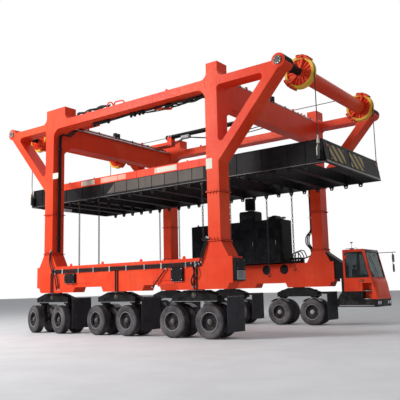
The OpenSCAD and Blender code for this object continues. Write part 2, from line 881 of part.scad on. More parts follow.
module cab_mirrors() {
    y = cab_y + cab_w - arm_in;
    arm_z = cab_top - arm_drop;
    stem_x = cab_x + cab_roof_l + stem_reach;
    color(black) {
        bar_x(y, arm_z, front_x(arm_z - arm_r) + seat_gap, stem_x + arm_over, arm_r);
        translate([stem_x, y, arm_z - stem_l]) cylinder(r = arm_r, h = stem_l);
        for (m = mirrors)
            box([stem_x, stem_x + mirror_t], [y - m[2], y + m[2]], [arm_z - m[0], arm_z - m[0] + m[1]]);
    }
    color(black) translate([cab_x + beacon_x, cab_y + beacon_y, cab_top]) {
        cylinder(r = beacon_r, h = beacon_h);
        cylinder(r = arm_r, h = mast_h);
        translate([0, 0, mast_h - beacon_h / 3]) cylinder(r = mast_cap_r, h = beacon_h);
    }
}

// Side view of the lifting frame with raked ends, set back by inset and run past top and bottom by over
module girder_outline(inset, over) {
    step = over * spread_rake / spread_h;
    top = spread_half - inset - step;
    low = spread_half + spread_rake - inset + step;
    polygon([[-low, spread_low - over], [low, spread_low - over], [top, spread_z + over],
        [-top, spread_z + over]]);
}

module lifting_frame() {
    color(black) difference() {
        upright(-spread_y, 2 * spread_y) girder_outline(0, 0);
        upright(-girder_in_y, 2 * girder_in_y) girder_outline(end_t, weld);
        for (t = [-1, 1]) box([-rail_back - rail_half, rail_half - rail_back],
            [t * girder_y - girder_w, t * girder_y + girder_w], [rail_low, spread_z + weld]);
    }
}

module cross_members() {
    color(black) for (s = [-1, 1], m = members) if (m > 0 || s > 0) translate([s * m, 0, spread_low]) {
        box([-member_t / 2, member_t / 2], [-girder_in_y, girder_in_y], [0, member_h]);
        box([-flange_w / 2, flange_w / 2], [-girder_in_y, girder_in_y], [0, flange_t]);
    }
}

module frame_rails() {
    half = girder_w / 2 + rail_lip;
    color(paint) for (t = [-1, 1])
        box([-rail_back - rail_half, rail_half - rail_back], [t * girder_y - half, t * girder_y + half],
            [rail_low, rail_top]);
}

module marker_plates() {
    color(yellow) both_ends() for (t = [-1, 1])
        translate([spread_half, t * marker_pitch / 2 - marker_aside, spread_z])
            rotate([0, -atan(spread_rake / spread_h), 0])
                translate([0.01, -marker_w / 2, -marker_h - (spread_h - marker_h) / 2])
                    cube([12, marker_w, marker_h]);
}

module lug() {
    difference() {
        upright(-lug_t / 2, lug_t) polygon([[-lug_l / 4, -lug_h], [lug_l / 4, -lug_h],
            [lug_l / 2, 0], [-lug_l / 2, 0]]);
        bar_y(0, -lug_hole_drop, -lug_t, lug_t, lug_hole_r);
    }
}

module frame_lugs() {
    count = floor((spread_half - lug_l) / lug_pitch);
    color(black) translate([0, 0, spread_low]) {
        for (t = [-1, 1], i = [-count:count]) translate([i * lug_pitch, t * girder_y, 0]) lug();
        for (s = [-1, 1], i = [-2:2])
            translate([s * lug_member, i * cross_lug_pitch, 0]) rotate(90) lug();
    }
}

module rope_sockets() {
    plate_t = 50;
    color(steel) both_ends() for (t = [-1, 1]) {
        side = [t * spread_y, t * (rope_y - plate_t / 2 + weld)];
        translate([fall_x, t * rope_y, socket_low]) cylinder(r = socket_r, h = socket_top - socket_low);
        box([fall_x - 60, fall_x + 60], [t * rope_y - plate_t / 2, t * rope_y + plate_t / 2],
            [spread_low + 80, socket_low + weld]);
        box([fall_x - 110, fall_x + 110], [min(side), max(side)], [spread_low + 100, spread_low + 400]);
    }
}

// One square-ended chain link, standing in the plane of X and Z, centred
module link() {
    upright(-link_bar / 2, link_bar) difference() {
        square([link_w + 2 * link_bar, link_l + 2 * link_bar], center = true);
        square([link_w, link_l], center = true);
    }
}

// One shackle across a lug whose hole's centre is the origin
module shackle() {
    in = lug_t / 2 + seat_gap;
    pin_z = shackle_r + seat_gap - lug_hole_r;
    bar_y(0, pin_z, -in - link_bar, in + link_bar, shackle_r);
    for (y = [-in - link_bar, in]) translate([-link_bar / 2, y, -shackle_l])
        cube([link_bar, link_bar, shackle_l + pin_z]);
    box([-link_bar / 2, link_bar / 2], [-in - weld, in + weld], [-shackle_l, link_bar - shackle_l]);
}

// One open hook under its eye link, which is centred on the origin
module hook() {
    link();
    upright(-hook_t / 2, hook_t) translate([0, -link_l / 2 - link_bar - hook_r]) difference() {
        union() {
            circle(hook_r);
            translate([-hook_t / 2, 0]) square([hook_t, hook_r + weld]);
        }
        circle(hook_in_r);
        translate([0, -hook_in_r / 2]) square([hook_r + weld, hook_in_r]);
    }
}

module slings() {
    first = link_bar - shackle_l - link_sink - link_l / 2;
    color(steel) for (c = slings)
        translate([c[0] * lug_pitch, c[1] * girder_y, spread_low - lug_hole_drop]) {
            shackle();
            for (k = [0:c[2] - 1]) translate([0, 0, first - k * link_step]) rotate(k % 2 * 90) link();
            translate([0, 0, first - c[2] * link_step]) rotate(c[2] % 2 * 90) hook();
        }
}

// Copies a piece to each of the six bogies' centres
module each_bogie() {
    for (t = [-1, 1], s = [-1, 0, 1])
        translate([s * seat_pitch - bogie_trail, t * track_y, 0]) children();
}

// Walking beams under their seats, each with a bore for its two kingpins and an arm for its mud flap
module bogie_beams() {
    half = axle_pitch / 2 + walk_over;
    top = walk_z + walk_h;
    color(black) each_bogie() difference() {
        union() {
            upright(-walk_w / 2, walk_w) polygon([[-half, walk_z], [half, walk_z],
                [half, walk_z + walk_end_h], [walk_flat, top], [-walk_flat, top],
                [-half, walk_z + walk_end_h]]);
            box([-rocker_l / 2, rocker_l / 2], [-rocker_w / 2, rocker_w / 2], [top - weld, seat_z]);
            box([half - weld, flap_x - seat_gap], [-flap_arm_w / 2, flap_arm_w / 2],
                [walk_z + walk_end_h / 2, walk_z + walk_end_h]);
        }
        for (a = [-1, 1]) translate([a * axle_pitch / 2, 0, walk_z - weld])
            cylinder(r = kingpin_r + run_gap, h = weld + kingpin_l + pin_end_gap);
    }
}

// Mud flaps hang in front of the bogies, clear of the wheels at full steering
module mud_flaps() {
    color(black) each_bogie()
        box([flap_x, flap_x + flap_t], [-pair_half, pair_half], [flap_low, walk_z + walk_end_h]);
}

// One steered strut of side t between its wheels: turntable, kingpin, leg, axle housing and a guard
// over the inner tyre
module strut(t) {
    housing = (twin_gap - strut_gap) / 2;
    guard_z = tyre_r + guard_r;
    color(black) {
        difference() {
            union() {
                translate([0, 0, tyre_r])
                    cylinder(r = twin_gap / 2 - strut_gap, h = walk_z - turntable_t / 2 - tyre_r);
                translate([0, 0, walk_z - turntable_t - seat_gap]) cylinder(r = turntable_r, h = turntable_t);
                translate([0, 0, walk_z - turntable_t]) cylinder(r = kingpin_r, h = turntable_t + kingpin_l);
                bar_y(0, tyre_r, -housing, housing, housing_r);
            }
            bar_y(0, tyre_r, -twin_gap, twin_gap, axle_r + run_gap);
        }
        mirror([0, t < 0 ? 0 : 1, 0]) {
            translate([0, pair_half, tyre_r]) rotate([90, 0, 0]) rotate(90 - guard_a / 2)
                rotate_extrude(angle = guard_a) translate([guard_r, 0]) square([guard_t, tyre_w]);
            box([-60, 60], [0, twin_gap / 2 + weld], [guard_z, guard_z + guard_t]);
        }
    }
}

// One wheel at the +Y side of its pair: tyre, rim dished on both faces, and hub
module wheel() {
    in = twin_gap / 2;
    out = pair_half;
    mid = (in + out) / 2;
    wall_r = (rim_r + tyre_r) / 2;
    translate([0, 0, tyre_r]) rotate([90, 0, 0]) rotate_extrude()
        polygon([[0, -in - wheel_dish], [rim_r - 40, -in - wheel_dish], [rim_r, -in - 25],
            [rim_r + 25, -in - 5], [wall_r, -in], [tyre_r - 40, -in - 15], [tyre_r - 8, -in - 55],
            [tyre_r, 60 - mid], [tyre_r, -mid - 60], [tyre_r - 8, 55 - out], [tyre_r - 40, 15 - out],
            [wall_r, -out], [rim_r + 25, 5 - out], [rim_r, 25 - out], [rim_r - 40, 130 - out],
            [hub_r, 110 - out], [hub_r, 20 - out], [0, 20 - out]]);
}

// One pair of wheels on their common shaft, along Y
module wheel_pair() {
    shaft = twin_gap / 2 + wheel_dish - seat_gap;
    color(black) for (m = [0, 1]) mirror([0, m, 0]) {
        wheel();
        bar_y(0, tyre_r, shaft - hub_plate_t, shaft, flange_r);
        bar_y(0, tyre_r, -weld, shaft, axle_r);
    }
}

// Stands a steered piece at wheel pair i of side t, turned to its steering direction
module steered(t, i) {
    translate([wheel_x[i], t * track_y, 0]) rotate(steer(wheel_x[i], t * track_y)) children();
}

placed() near_sill();
placed() far_sill();
placed() leg_sections();
placed() near_portal();
placed() far_portal();
placed() cross_beams();
placed() end_pipes();
placed() nose_caps();
placed() front_sheaves();
placed() rear_sheaves();
placed() rope_falls();
placed() rope_runs();
placed() hoist_cylinders();
placed() cylinder_saddles();
placed() service_pipes();
placed() hose_lines();
placed() sill_boxes();
placed() power_pack();
placed() cab_shell();
placed() cab_door();
placed() door_glass();
placed() cab_glass();
placed() cab_seat();
placed() cab_console();
placed() cab_carrier();
placed() cab_mirrors();
placed() lifting_frame();
placed() cross_members();
placed() frame_rails();
placed() marker_plates();
placed() frame_lugs();
placed() rope_sockets();
placed() slings();
placed() bogie_beams();
placed() mud_flaps();
for (t = [-1, 1], i = [0:5]) {
    side = t < 0 ? "near" : "far";
    placed() steered(t, i) strut(t);
    placed() steered(t, i) wheel_pair();
}
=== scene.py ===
"""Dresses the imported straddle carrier: paint, tyres, ropes, chains, cab and power pack, then the
floor, the lights and the camera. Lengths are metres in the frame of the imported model."""

import functools
import itertools
import logging
import math
from dataclasses import dataclass
from enum import Enum
from typing import Sequence

import bmesh
import bpy
import numpy as np
from bpy.types import Material, Node, NodeSocket, Object
from mathutils import Matrix, Vector


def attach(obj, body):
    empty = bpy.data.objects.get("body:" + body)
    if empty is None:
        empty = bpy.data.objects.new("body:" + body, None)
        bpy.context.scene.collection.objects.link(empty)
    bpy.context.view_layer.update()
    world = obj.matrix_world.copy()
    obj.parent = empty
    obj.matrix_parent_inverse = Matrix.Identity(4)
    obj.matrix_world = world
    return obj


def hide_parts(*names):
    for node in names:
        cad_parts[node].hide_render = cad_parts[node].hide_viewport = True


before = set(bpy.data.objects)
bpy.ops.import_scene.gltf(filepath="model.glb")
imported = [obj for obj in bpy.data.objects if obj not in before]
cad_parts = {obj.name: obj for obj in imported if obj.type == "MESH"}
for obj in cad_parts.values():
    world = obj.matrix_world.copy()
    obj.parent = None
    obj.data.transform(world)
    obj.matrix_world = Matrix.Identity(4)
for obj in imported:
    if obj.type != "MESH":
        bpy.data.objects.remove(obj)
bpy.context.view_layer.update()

log = logging.getLogger("straddle_carrier")
Array = np.ndarray
Place = Sequence[float]
Points = Sequence[Sequence[float]]
Colour = tuple[float, float, float]

# The machine's centre line, the side frames' outer faces and the far one's inner face
MID = -0.45
NEAR_OUT, FAR_IN, FAR_OUT = MID - 4.14, MID + 3.54, MID + 4.14
# The legs' places along and across and half their length, then the upper faces of sills and top beams
LEG_X, LEG_Y, LEG_HALF = 4.25, 3.84, 0.25
SILL_TOP, TOP = 2.67, 8.82
# Both ends or sides, and all four pairs of an end and a side
BOTH = (-1, 1)
CORNERS = tuple(itertools.product(BOTH, BOTH))
SIDEWAYS = (0.0, 1.0, 0.0)
TAU = 2.0 * math.pi


def srgb(red: int, green: int, blue: int) -> Colour:
    """Turns a colour of the screen, 0 to 255, into the light values that the shader takes."""
    part = np.array([red, green, blue]) / 255.0
    lin = np.where(part <= 0.04045, part / 12.92, ((part + 0.055) / 1.055) ** 2.4)
    return (float(lin[0]), float(lin[1]), float(lin[2]))


class Axis(Enum):
    """The axis that a turned shape goes round."""

    X = 0
    Y = 1
    Z = 2


@dataclass
class Shape:
    """A bare surface.

    points: (n, 3) places; faces: arrays of corner numbers, one row a face.
    """

    points: Array
    faces: list[Array]

    def placed(self, turn: Array | None = None, shift: Place = (0, 0, 0)) -> "Shape":
        """Gives a copy turned by a 3 by 3 matrix and then moved.

        Args:
            turn: rows are the new axes' components, or None to leave it unturned.
            shift: the move afterwards.
        Returns:
            The copy.
        """
        points = self.points if turn is None else self.points @ np.asarray(turn, float).T
        return Shape(points + np.asarray(shift, float), self.faces)


def join(shapes: Sequence[Shape]) -> Shape:
    """Puts several shapes into one, with each one's corner numbers raised by the points before it."""
    starts = np.cumsum([0] + [len(s.points) for s in shapes[:-1]])
    faces = [f + start for s, start in zip(shapes, starts) for f in s.faces]
    return Shape(np.concatenate([s.points for s in shapes]), faces)


def repeat(shape: Shape, places: Array, turns: Array | None = None) -> Shape:
    """Repeats a shape: copy k is turn k times the points, plus place k.

    Args:
        shape: what is repeated.
        places: (m, 3) moves.
        turns: (m, 3, 3) turns, or None.
    Returns:
        All copies in one shape.
    """
    places = np.atleast_2d(np.asarray(places, float))
    count, size = len(places), len(shape.points)
    if turns is None:
        points = places[:, None, :] + shape.points[None]
    else:
        points = places[:, None, :] + np.einsum("mij,nj->mni", np.asarray(turns, float), shape.points)
    lift = (np.arange(count) * size)[:, None, None]
    faces = [(f[None] + lift).reshape(-1, f.shape[1]) for f in shape.faces]
    return Shape(points.reshape(-1, 3), faces)


def grid_faces(rows: int, columns: int, wrap_rows: bool, wrap_columns: bool) -> Array:
    """Corner numbers of the quads of a grid of rows by columns, closed on itself where it wraps."""
    r = np.arange(rows if wrap_rows else rows - 1)[:, None]
    c = np.arange(columns if wrap_columns else columns - 1)[None, :]
    r2, c2 = (r + 1) % rows, (c + 1) % columns
    corners = [r * columns + c, r * columns + c2, r2 * columns + c2, r2 * columns + c]
    return np.stack([np.broadcast_to(k, (r.shape[0], c.shape[1])) for k in corners], -1).reshape(-1, 4)


def swept(rows: Array) -> Shape:
    """A bar with four sides: rows (n, 4, 3) of corners, each joined to the next, capped at both ends."""
    return Shape(rows.reshape(-1, 3), [swept_faces(len(rows))])


def swept_faces(rows: int) -> Array:
    """Corner numbers of the sides and the two caps of a bar with four sides."""
    caps = np.array([[3, 2, 1, 0], list(range(4 * rows - 4, 4 * rows))])
    return np.concatenate([grid_faces(rows, 4, False, True), caps])


def turned(angle: float, axis: Axis) -> Array:
    """The 3 by 3 turn by an angle, in radians, round an axis."""
    return np.array(Matrix.Rotation(angle, 3, axis.name))


def arc_strip(end: int, inner: float, outer: float, start: float, stop: float, steps: int) -> Points:
    """Outline of a strip between two radii, from one angle to another in degrees, mirrored for end -1."""
    span = np.radians(np.linspace(start, stop, steps))
    sides = ((inner, span), (outer, span[::-1]))
    return [(end * radius * math.cos(a), radius * math.sin(a)) for radius, line in sides for a in line]


def lathe(profile: Points, axis: Axis = Axis.Z, centre: Place = (0, 0, 0), turns: int = 48,
        ring: bool = False) -> Shape:
    """Turns a profile round an axis: point (r, h) goes to h along the axis and r times (cos, sin) round it.

    Args:
        profile: rows of radius and height; an open profile gets a flat cap at each end.
        axis: the axis that it goes round.
        centre: where height 0 of the axis is.
        turns: how many steps round.
        ring: true where the profile is a closed loop.
    Returns:
        The closed shape.
    """
    prof = np.asarray(profile, float)
    angle = np.arange(turns) * TAU / turns
    points = np.empty((len(prof), turns, 3))
    first, second = (axis.value + 1) % 3, (axis.value + 2) % 3
    points[..., axis.value] = prof[:, 1:2]
    points[..., first] = prof[:, 0:1] * np.cos(angle)
    points[..., second] = prof[:, 0:1] * np.sin(angle)
    faces = [grid_faces(len(prof), turns, ring, True)]
    if not ring:
        faces += [np.arange(turns)[None, ::-1], (np.arange(turns) + (len(prof) - 1) * turns)[None]]
    return Shape(points.reshape(-1, 3) + np.asarray(centre, float), faces)


def tube(path: Points, radius: float | Array, sides: int = 10, side_way: Place = (0.0, 0.0, 1.0)) -> Shape:
    """Carries a circle along a path: each ring stands square to the path, at radius from it.

    Args:
        path: (n, 3) points.
        radius: one radius, or one for each point.
        sides: corners of a ring.
        side_way: a direction that the path never runs along, from which the rings are counted.
    Returns:
        The tube with flat ends.
    """
    line = np.asarray(path, float)
    along = np.gradient(line, axis=0)
    along /= np.linalg.norm(along, axis=1, keepdims=True)
    first = np.cross(along, np.asarray(side_way, float))
    first /= np.linalg.norm(first, axis=1, keepdims=True)
    second = np.cross(along, first)
    angle = np.arange(sides) * TAU / sides
    size = np.broadcast_to(np.asarray(radius, float), (len(line),))[:, None, None]
    ring = first[:, None] * np.cos(angle)[None, :, None] + second[:, None] * np.sin(angle)[None, :, None]
    points = line[:, None] + size * ring
    caps = [np.arange(sides)[None, ::-1], (np.arange(sides) + (len(line) - 1) * sides)[None]]
    return Shape(points.reshape(-1, 3), [grid_faces(len(line), sides, False, True)] + caps)


def rounded_path(corners: Points, bend: float, steps: int = 6) -> Array:
    """Rounds a path's corners: each is replaced by a parabola from bend before it to bend after it.

    Args:
        corners: (n, 3) corner points.
        bend: how far from a corner its curve starts.
        steps: points of each curve.
    Returns:
        The rounded path's points.
    """
    line = np.asarray(corners, float)
    before = line[:-2] - line[1:-1]
    after = line[2:] - line[1:-1]
    before *= np.minimum(bend / np.linalg.norm(before, axis=1), 0.49)[:, None]
    after *= np.minimum(bend / np.linalg.norm(after, axis=1), 0.49)[:, None]
    t = np.linspace(0.0, 1.0, steps)[None, :, None]
    curve = line[1:-1, None] + before[:, None] * (1 - t) ** 2 + after[:, None] * t**2
    return np.concatenate([line[:1], curve.reshape(-1, 3), line[-1:]])


def block(low: Place, high: Place, edge: float = 0.006) -> Shape:
    """A block with all edges chamfered: each corner gives three points, each set back along two axes.

    Args:
        low: lowest corner.
        high: highest corner.
        edge: width of the chamfer.
    Returns:
        The closed shape.
    """
    low, high = np.minimum(low, high).astype(float), np.maximum(low, high).astype(float)
    half = (high - low) / 2
    edge = min(edge, 0.45 * float(half.min()))
    signs = np.array([[x, y, z] for x in (-1, 1) for y in (-1, 1) for z in (-1, 1)], float)
    set_back = np.where(np.eye(3, dtype=bool), 0.0, edge)
    points = (signs[:, None] * (half - set_back)[None]).reshape(-1, 3) + (low + high) / 2
    return Shape(points, [BLOCK_QUADS, BLOCK_CORNERS])


def block_faces() -> tuple[Array, Array]:
    """Corner numbers of a chamfered block: 6 sides and 12 chamfers as quads, and 8 corners."""

    def number(sign: Sequence[int], axis: int) -> int:
        """The number of a corner's point that lies on the side square to an axis."""
        return (sign[0] * 4 + sign[1] * 2 + sign[2]) * 3 + axis

    quads = []
    for axis in range(3):
        one, two = (axis + 1) % 3, (axis + 2) % 3
        for side in (0, 1):
            ring = []
            for a, b in ((0, 0), (1, 0), (1, 1), (0, 1)):
                sign = [0, 0, 0]
                sign[axis], sign[one], sign[two] = side, a, b
                ring.append(number(sign, axis))
            quads.append(ring if side else ring[::-1])
            for other in (0, 1):
                sign = [0, 0, 0]
                sign[one], sign[two] = side, other
                far = list(sign)
                far[axis] = 1
                quads.append([number(sign, one), number(sign, two), number(far, two), number(far, one)])
    corners = [[number(s, 0), number(s, 1), number(s, 2)] for s in np.ndindex(2, 2, 2)]
    return np.array(quads), np.array(corners)


BLOCK_QUADS, BLOCK_CORNERS = block_faces()


def blocks(boxes: Sequence[Points], edge: float = 0.006) -> Shape:
    """Several chamfered blocks in one shape, each given as its lowest and highest corner."""
    return join([block(low, high, edge) for low, high in boxes])


def prism(outline: Points, origin: Place, across: Place, up: Place, thick: float, edge: float = 0.0) -> Shape:
    """Carries a flat outline straight out: point (a, b) goes to origin + a across + b up + depth.

    Args:
        outline: (n, 2) convex outline.
        origin: where (0, 0) lies.
        across: direction of the first number.
        up: direction of the second number.
        thick: depth along across x up.
        edge: chamfer of both rims, drawn in towards the outline's middle.
    Returns:
        The closed plate.
    """
    flat = np.asarray(outline, float)
    across, up = np.asarray(across, float), np.asarray(up, float)
    out = np.cross(across, up)
    middle = flat.mean(0)
    reach = np.linalg.norm(flat - middle, axis=1, keepdims=True)
    inner = middle + (flat - middle) * (1 - edge / reach)
    count = len(flat)
    depth = math.copysign(edge, thick)
    layers = [(inner, 0.0), (flat, depth), (flat, thick - depth), (inner, thick)] if edge else \
        [(flat, 0.0), (flat, thick)]
    rings = [ring[:, :1] * across + ring[:, 1:] * up + d * out for ring, d in layers]
    points = np.concatenate(rings) + np.asarray(origin, float)
    caps = [np.arange(count)[None, ::-1], (np.arange(count) + (len(rings) - 1) * count)[None]]
    return Shape(points, [grid_faces(len(rings), count, False, True)] + caps)


def upright(outline: Points, origin: Place, thick: float, edge: float = 0.0) -> Shape:
    """An upright prism: its outline runs along X and up Z, and a positive thickness goes to -Y."""
    return prism(outline, origin, (1, 0, 0), (0, 0, 1), thick, edge)


def round_places(centre: Place, radius: float, count: int, across: Place = (1, 0, 0), up: Place = (0, 0, 1),
        start: float = 0.0) -> Array:
    """Places on a circle: centre + radius (across cos a + up sin a), with a in equal steps from start."""
    angle = np.arange(count) * TAU / count + start
    ring = np.cos(angle)[:, None] * np.asarray(across, float) + np.sin(angle)[:, None] * np.asarray(up, float)
    return np.asarray(centre, float) + radius * ring


def piled(heights: Array) -> Array:
    """Places one over the other on the Z axis, at the given heights."""
    return np.column_stack([0 * heights, 0 * heights, heights])


def facing(normal: Place) -> Array:
    """A turn that brings +Z onto the given direction."""
    way = Vector(normal).normalized()
    return np.array(way.to_track_quat("Z", "Y").to_matrix())


def bolts(places: Points, normal: Place, across: float = 0.036, washer: bool = True) -> Shape:
    """Hexagonal bolt heads on a face, with a domed top, each on a round washer.

    Args:
        places: where the bolts seat.
        normal: the way that the heads stand out.
        across: width over the corners.
        washer: whether each sits on a washer.
    Returns:
        All bolts in one shape.
    """
    r = across / 2
    head = lathe([(0.001, 0.0), (r, 0.0), (r, 0.5 * r), (0.86 * r, 0.62 * r), (0.3 * r, 0.66 * r)], turns=6)
    parts = [head.placed(shift=(0, 0, 0.12 * r))]
    if washer:
        parts.append(lathe([(0.001, 0.0), (1.45 * r, 0.0), (1.45 * r, 0.1 * r), (1.3 * r, 0.16 * r)], turns=14))
    unit = join(parts).placed(facing(normal))
    return repeat(unit, np.asarray(places, float))


class Piece:
    """One named object of the dressed model, filled shape by shape and then made."""

    def __init__(self, name: str, body: str, slot: str) -> None:
        """Names the piece, the body that it rides on and the record's slot of its finish."""
        self.name, self.body, self.slot = name, body, slot
        self.shapes: list[Shape] = []
        self.materials: list[Material] = []
        self.picks: list[Array] = []

    def add(self, shape: Shape, look: "Finish") -> None:
        """Adds a shape in a finish."""
        material = finish(look)
        if material not in self.materials:
            self.materials.append(material)
        self.shapes.append(shape)
        count = sum(len(f) for f in shape.faces)
        self.picks.append(np.full(count, self.materials.index(material)))

    def make(self, smooth: float = 35.0, replaces: Sequence[str] = ()) -> None:
        """Makes the mesh, turns all faces outwards and hangs the piece on its body.

        Args:
            smooth: faces that meet at less than this angle, in degrees, are shaded as one.
            replaces: CAD nodes that it stands for.
        """
        whole = join(self.shapes)
        mesh = bpy.data.meshes.new(self.name)
        sizes = np.concatenate([np.full(len(f), f.shape[1]) for f in whole.faces])
        loops = np.concatenate([f.ravel() for f in whole.faces])
        starts = np.concatenate([[0], np.cumsum(sizes)[:-1]])
        mesh.vertices.add(len(whole.points))
        mesh.loops.add(len(loops))
        mesh.polygons.add(len(sizes))
        mesh.vertices.foreach_set("co", whole.points.astype(np.float32).ravel())
        mesh.loops.foreach_set("vertex_index", loops.astype(np.int32))
        mesh.polygons.foreach_set("loop_start", starts.astype(np.int32))
        mesh.polygons.foreach_set("material_index", np.concatenate(self.picks).astype(np.int32))
        mesh.update(calc_edges=True)
        mesh.validate()
        for material in self.materials:
            mesh.materials.append(material)
        work = bmesh.new()
        work.from_mesh(mesh)
        bmesh.ops.recalc_face_normals(work, faces=work.faces)
        work.to_mesh(mesh)
        work.free()
        mesh.shade_smooth()
        mesh.set_sharp_from_angle(angle=math.radians(smooth))
        piece = bpy.data.objects.new(self.name, mesh)
        bpy.context.scene.collection.objects.link(piece)
        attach(piece, self.body)
        if replaces:
            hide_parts(*replaces)
        log.info("%s: %d points, %d faces on %s", self.name, len(whole.points), len(sizes), self.body)


class Nodes:
    """A node tree that is built line by line."""

    def __init__(self, name: str) -> None:
        """Starts a material with a Principled shader on its output."""
        self.material = bpy.data.materials.new(name)
        self.material.use_nodes = True
        self.tree = self.material.node_tree
        self.tree.nodes.clear()
        self.shader = self.add("ShaderNodeBsdfPrincipled")
        output = self.add("ShaderNodeOutputMaterial")
        self.link(self.shader.outputs[0], output.inputs["Surface"])
        self.place = self.add("ShaderNodeTexCoord").outputs["Object"]

    def add(self, kind: str, **settings: object) -> Node:
        """Adds a node; settings are its properties, or its inputs where the name is one."""
        node = self.tree.nodes.new(kind)
        for key, value in settings.items():
            if hasattr(node, key):
                setattr(node, key, value)
            else:
                node.inputs[key].default_value = value
        return node

    def link(self, start: NodeSocket, end: NodeSocket) -> None:
        """Joins two sockets."""
        self.tree.links.new(start, end)

    def noise(self, scale: float, stretch: Place = (1, 1, 1), detail: float = 4.0,
            rough: float = 0.55) -> NodeSocket:
        """Cloudy noise over the object's place, with the place multiplied by stretch first."""
        mapping = self.add("ShaderNodeMapping")
        mapping.inputs["Scale"].default_value = stretch
        self.link(self.place, mapping.inputs["Vector"])
        noise = self.add("ShaderNodeTexNoise", Scale=scale, Detail=detail, Roughness=rough)
        self.link(mapping.outputs[0], noise.inputs["Vector"])
        return noise.outputs["Fac"]

    def ramp(self, fac: NodeSocket, start: float, end: float, low: float = 0.0,
            high: float = 1.0) -> NodeSocket:
        """Maps start..end of a value to low..high, smoothly, held at both ends."""
        span = self.add("ShaderNodeMapRange", interpolation_type="SMOOTHSTEP")
        for key, value in (("From Min", start), ("From Max", end), ("To Min", low), ("To Max", high)):
            span.inputs[key].default_value = value
        self.link(fac, span.inputs["Value"])
        return span.outputs["Result"]

    def feed(self, slot: NodeSocket, value: object) -> None:
        """Links a socket to an input, or else sets the input to a number or an opaque colour."""
        if isinstance(value, NodeSocket):
            self.link(value, slot)
        else:
            slot.default_value = (*value, 1.0) if isinstance(value, tuple) else value

    def maths(self, way: str, first: object, second: object) -> NodeSocket:
        """A sum, product or other operation on two sockets or numbers."""
        node = self.add("ShaderNodeMath", operation=way)
        for slot, value in zip(node.inputs, (first, second)):
            self.feed(slot, value)
        return node.outputs[0]

    def mix(self, fac: object, first: object, second: object) -> NodeSocket:
        """Mixes two colours, each a socket or a colour, by fac."""
        node = self.add("ShaderNodeMix", data_type="RGBA")
        slots = {slot.identifier: slot for slot in node.inputs}
        for name, value in (("Factor_Float", fac), ("A_Color", first), ("B_Color", second)):
            self.feed(slots[name], value)
        return next(slot for slot in node.outputs if slot.identifier == "Result_Color")

    def along(self, axis: Axis) -> NodeSocket:
        """How far along an axis a place lies; along Z it is the height over the ground."""
        split = self.add("ShaderNodeSeparateXYZ")
        self.link(self.place, split.inputs[0])
        return split.outputs[axis.value]

    def bump(self, height: NodeSocket, strength: float, distance: float) -> None:
        """Lets a value raise the surface."""
        bump = self.add("ShaderNodeBump", Strength=strength, Distance=distance)
        self.link(height, bump.inputs["Height"])
        self.link(bump.outputs["Normal"], self.shader.inputs["Normal"])

    def colour(self, socket: NodeSocket) -> None:
        """Sends a colour to the shader."""
        self.link(socket, self.shader.inputs["Base Color"])

    def rough(self, socket: NodeSocket) -> None:
        """Sends a roughness to the shader."""
        self.link(socket, self.shader.inputs["Roughness"])

    def fix(self, name: str, value: float) -> None:
        """Sets one of the shader's inputs to a number."""
        self.shader.inputs[name].default_value = value


@dataclass(frozen=True)
class Paint:
    """Sprayed paint on steel: faded in clouds, streaked by rain, dusty towards the ground."""

    name: str
    colour: Colour
    faded: Colour
    dust: Colour = srgb(150, 144, 138)
    dust_top: float = 1.8
    dust_share: float = 0.35
    rough: float = 0.38
    streaks: float = 0.3
    shine: float = 0.3

    def material(self) -> Material:
        """Builds the paint: cloud noise fades it, tall thin noise streaks it, height lays dust on it."""
        n = Nodes(self.name)
        clouds = n.ramp(n.noise(0.55, detail=6.0), 0.35, 0.7)
        streak = n.ramp(n.noise(6.0, (1.0, 1.0, 0.06), 5.0), 0.5, 0.78, 0.0, self.streaks)
        base = n.mix(clouds, self.colour, self.faded)
        dark = tuple(0.55 * c for c in self.colour)
        base = n.mix(streak, base, dark)
        speck = n.ramp(n.noise(3.1, detail=8.0, rough=0.7), 0.38, 0.68)
        low = n.ramp(n.along(Axis.Z), 0.1, self.dust_top, self.dust_share, 0.03)
        dusty = n.maths("MULTIPLY", low, speck)
        n.colour(n.mix(dusty, base, self.dust))
        n.rough(n.ramp(n.maths("ADD", dusty, n.noise(18.0)), 0.3, 1.1, self.rough - 0.06, self.rough + 0.34))
        n.fix("Specular IOR Level", self.shine)
        n.bump(n.noise(95.0, detail=2.0), 0.08, 0.002)
        return n.material


@dataclass(frozen=True)
class Rubber:
    """Rubber, darker where it is clean and grey where dust lies."""

    name: str
    colour: Colour
    dusty: Colour
    rough: float = 0.82
    grain: float = 60.0
    dust_share: float = 0.8

    def material(self) -> Material:
        """Builds the rubber: two noises of different size share out the dust, a fine one is its grain."""
        n = Nodes(self.name)
        broad = n.noise(2.3, detail=5.0)
        fine = n.noise(24.0, detail=6.0, rough=0.7)
        dust = n.ramp(n.maths("ADD", broad, n.maths("MULTIPLY", fine, 0.6)), 0.6, 1.05, 0.05, self.dust_share)
        n.colour(n.mix(dust, self.colour, self.dusty))
        n.rough(n.ramp(dust, 0.0, 1.0, self.rough - 0.15, self.rough + 0.1))
        n.fix("Specular IOR Level", 0.25)
        n.bump(n.noise(self.grain, detail=5.0), 0.25, 0.003)
        return n.material


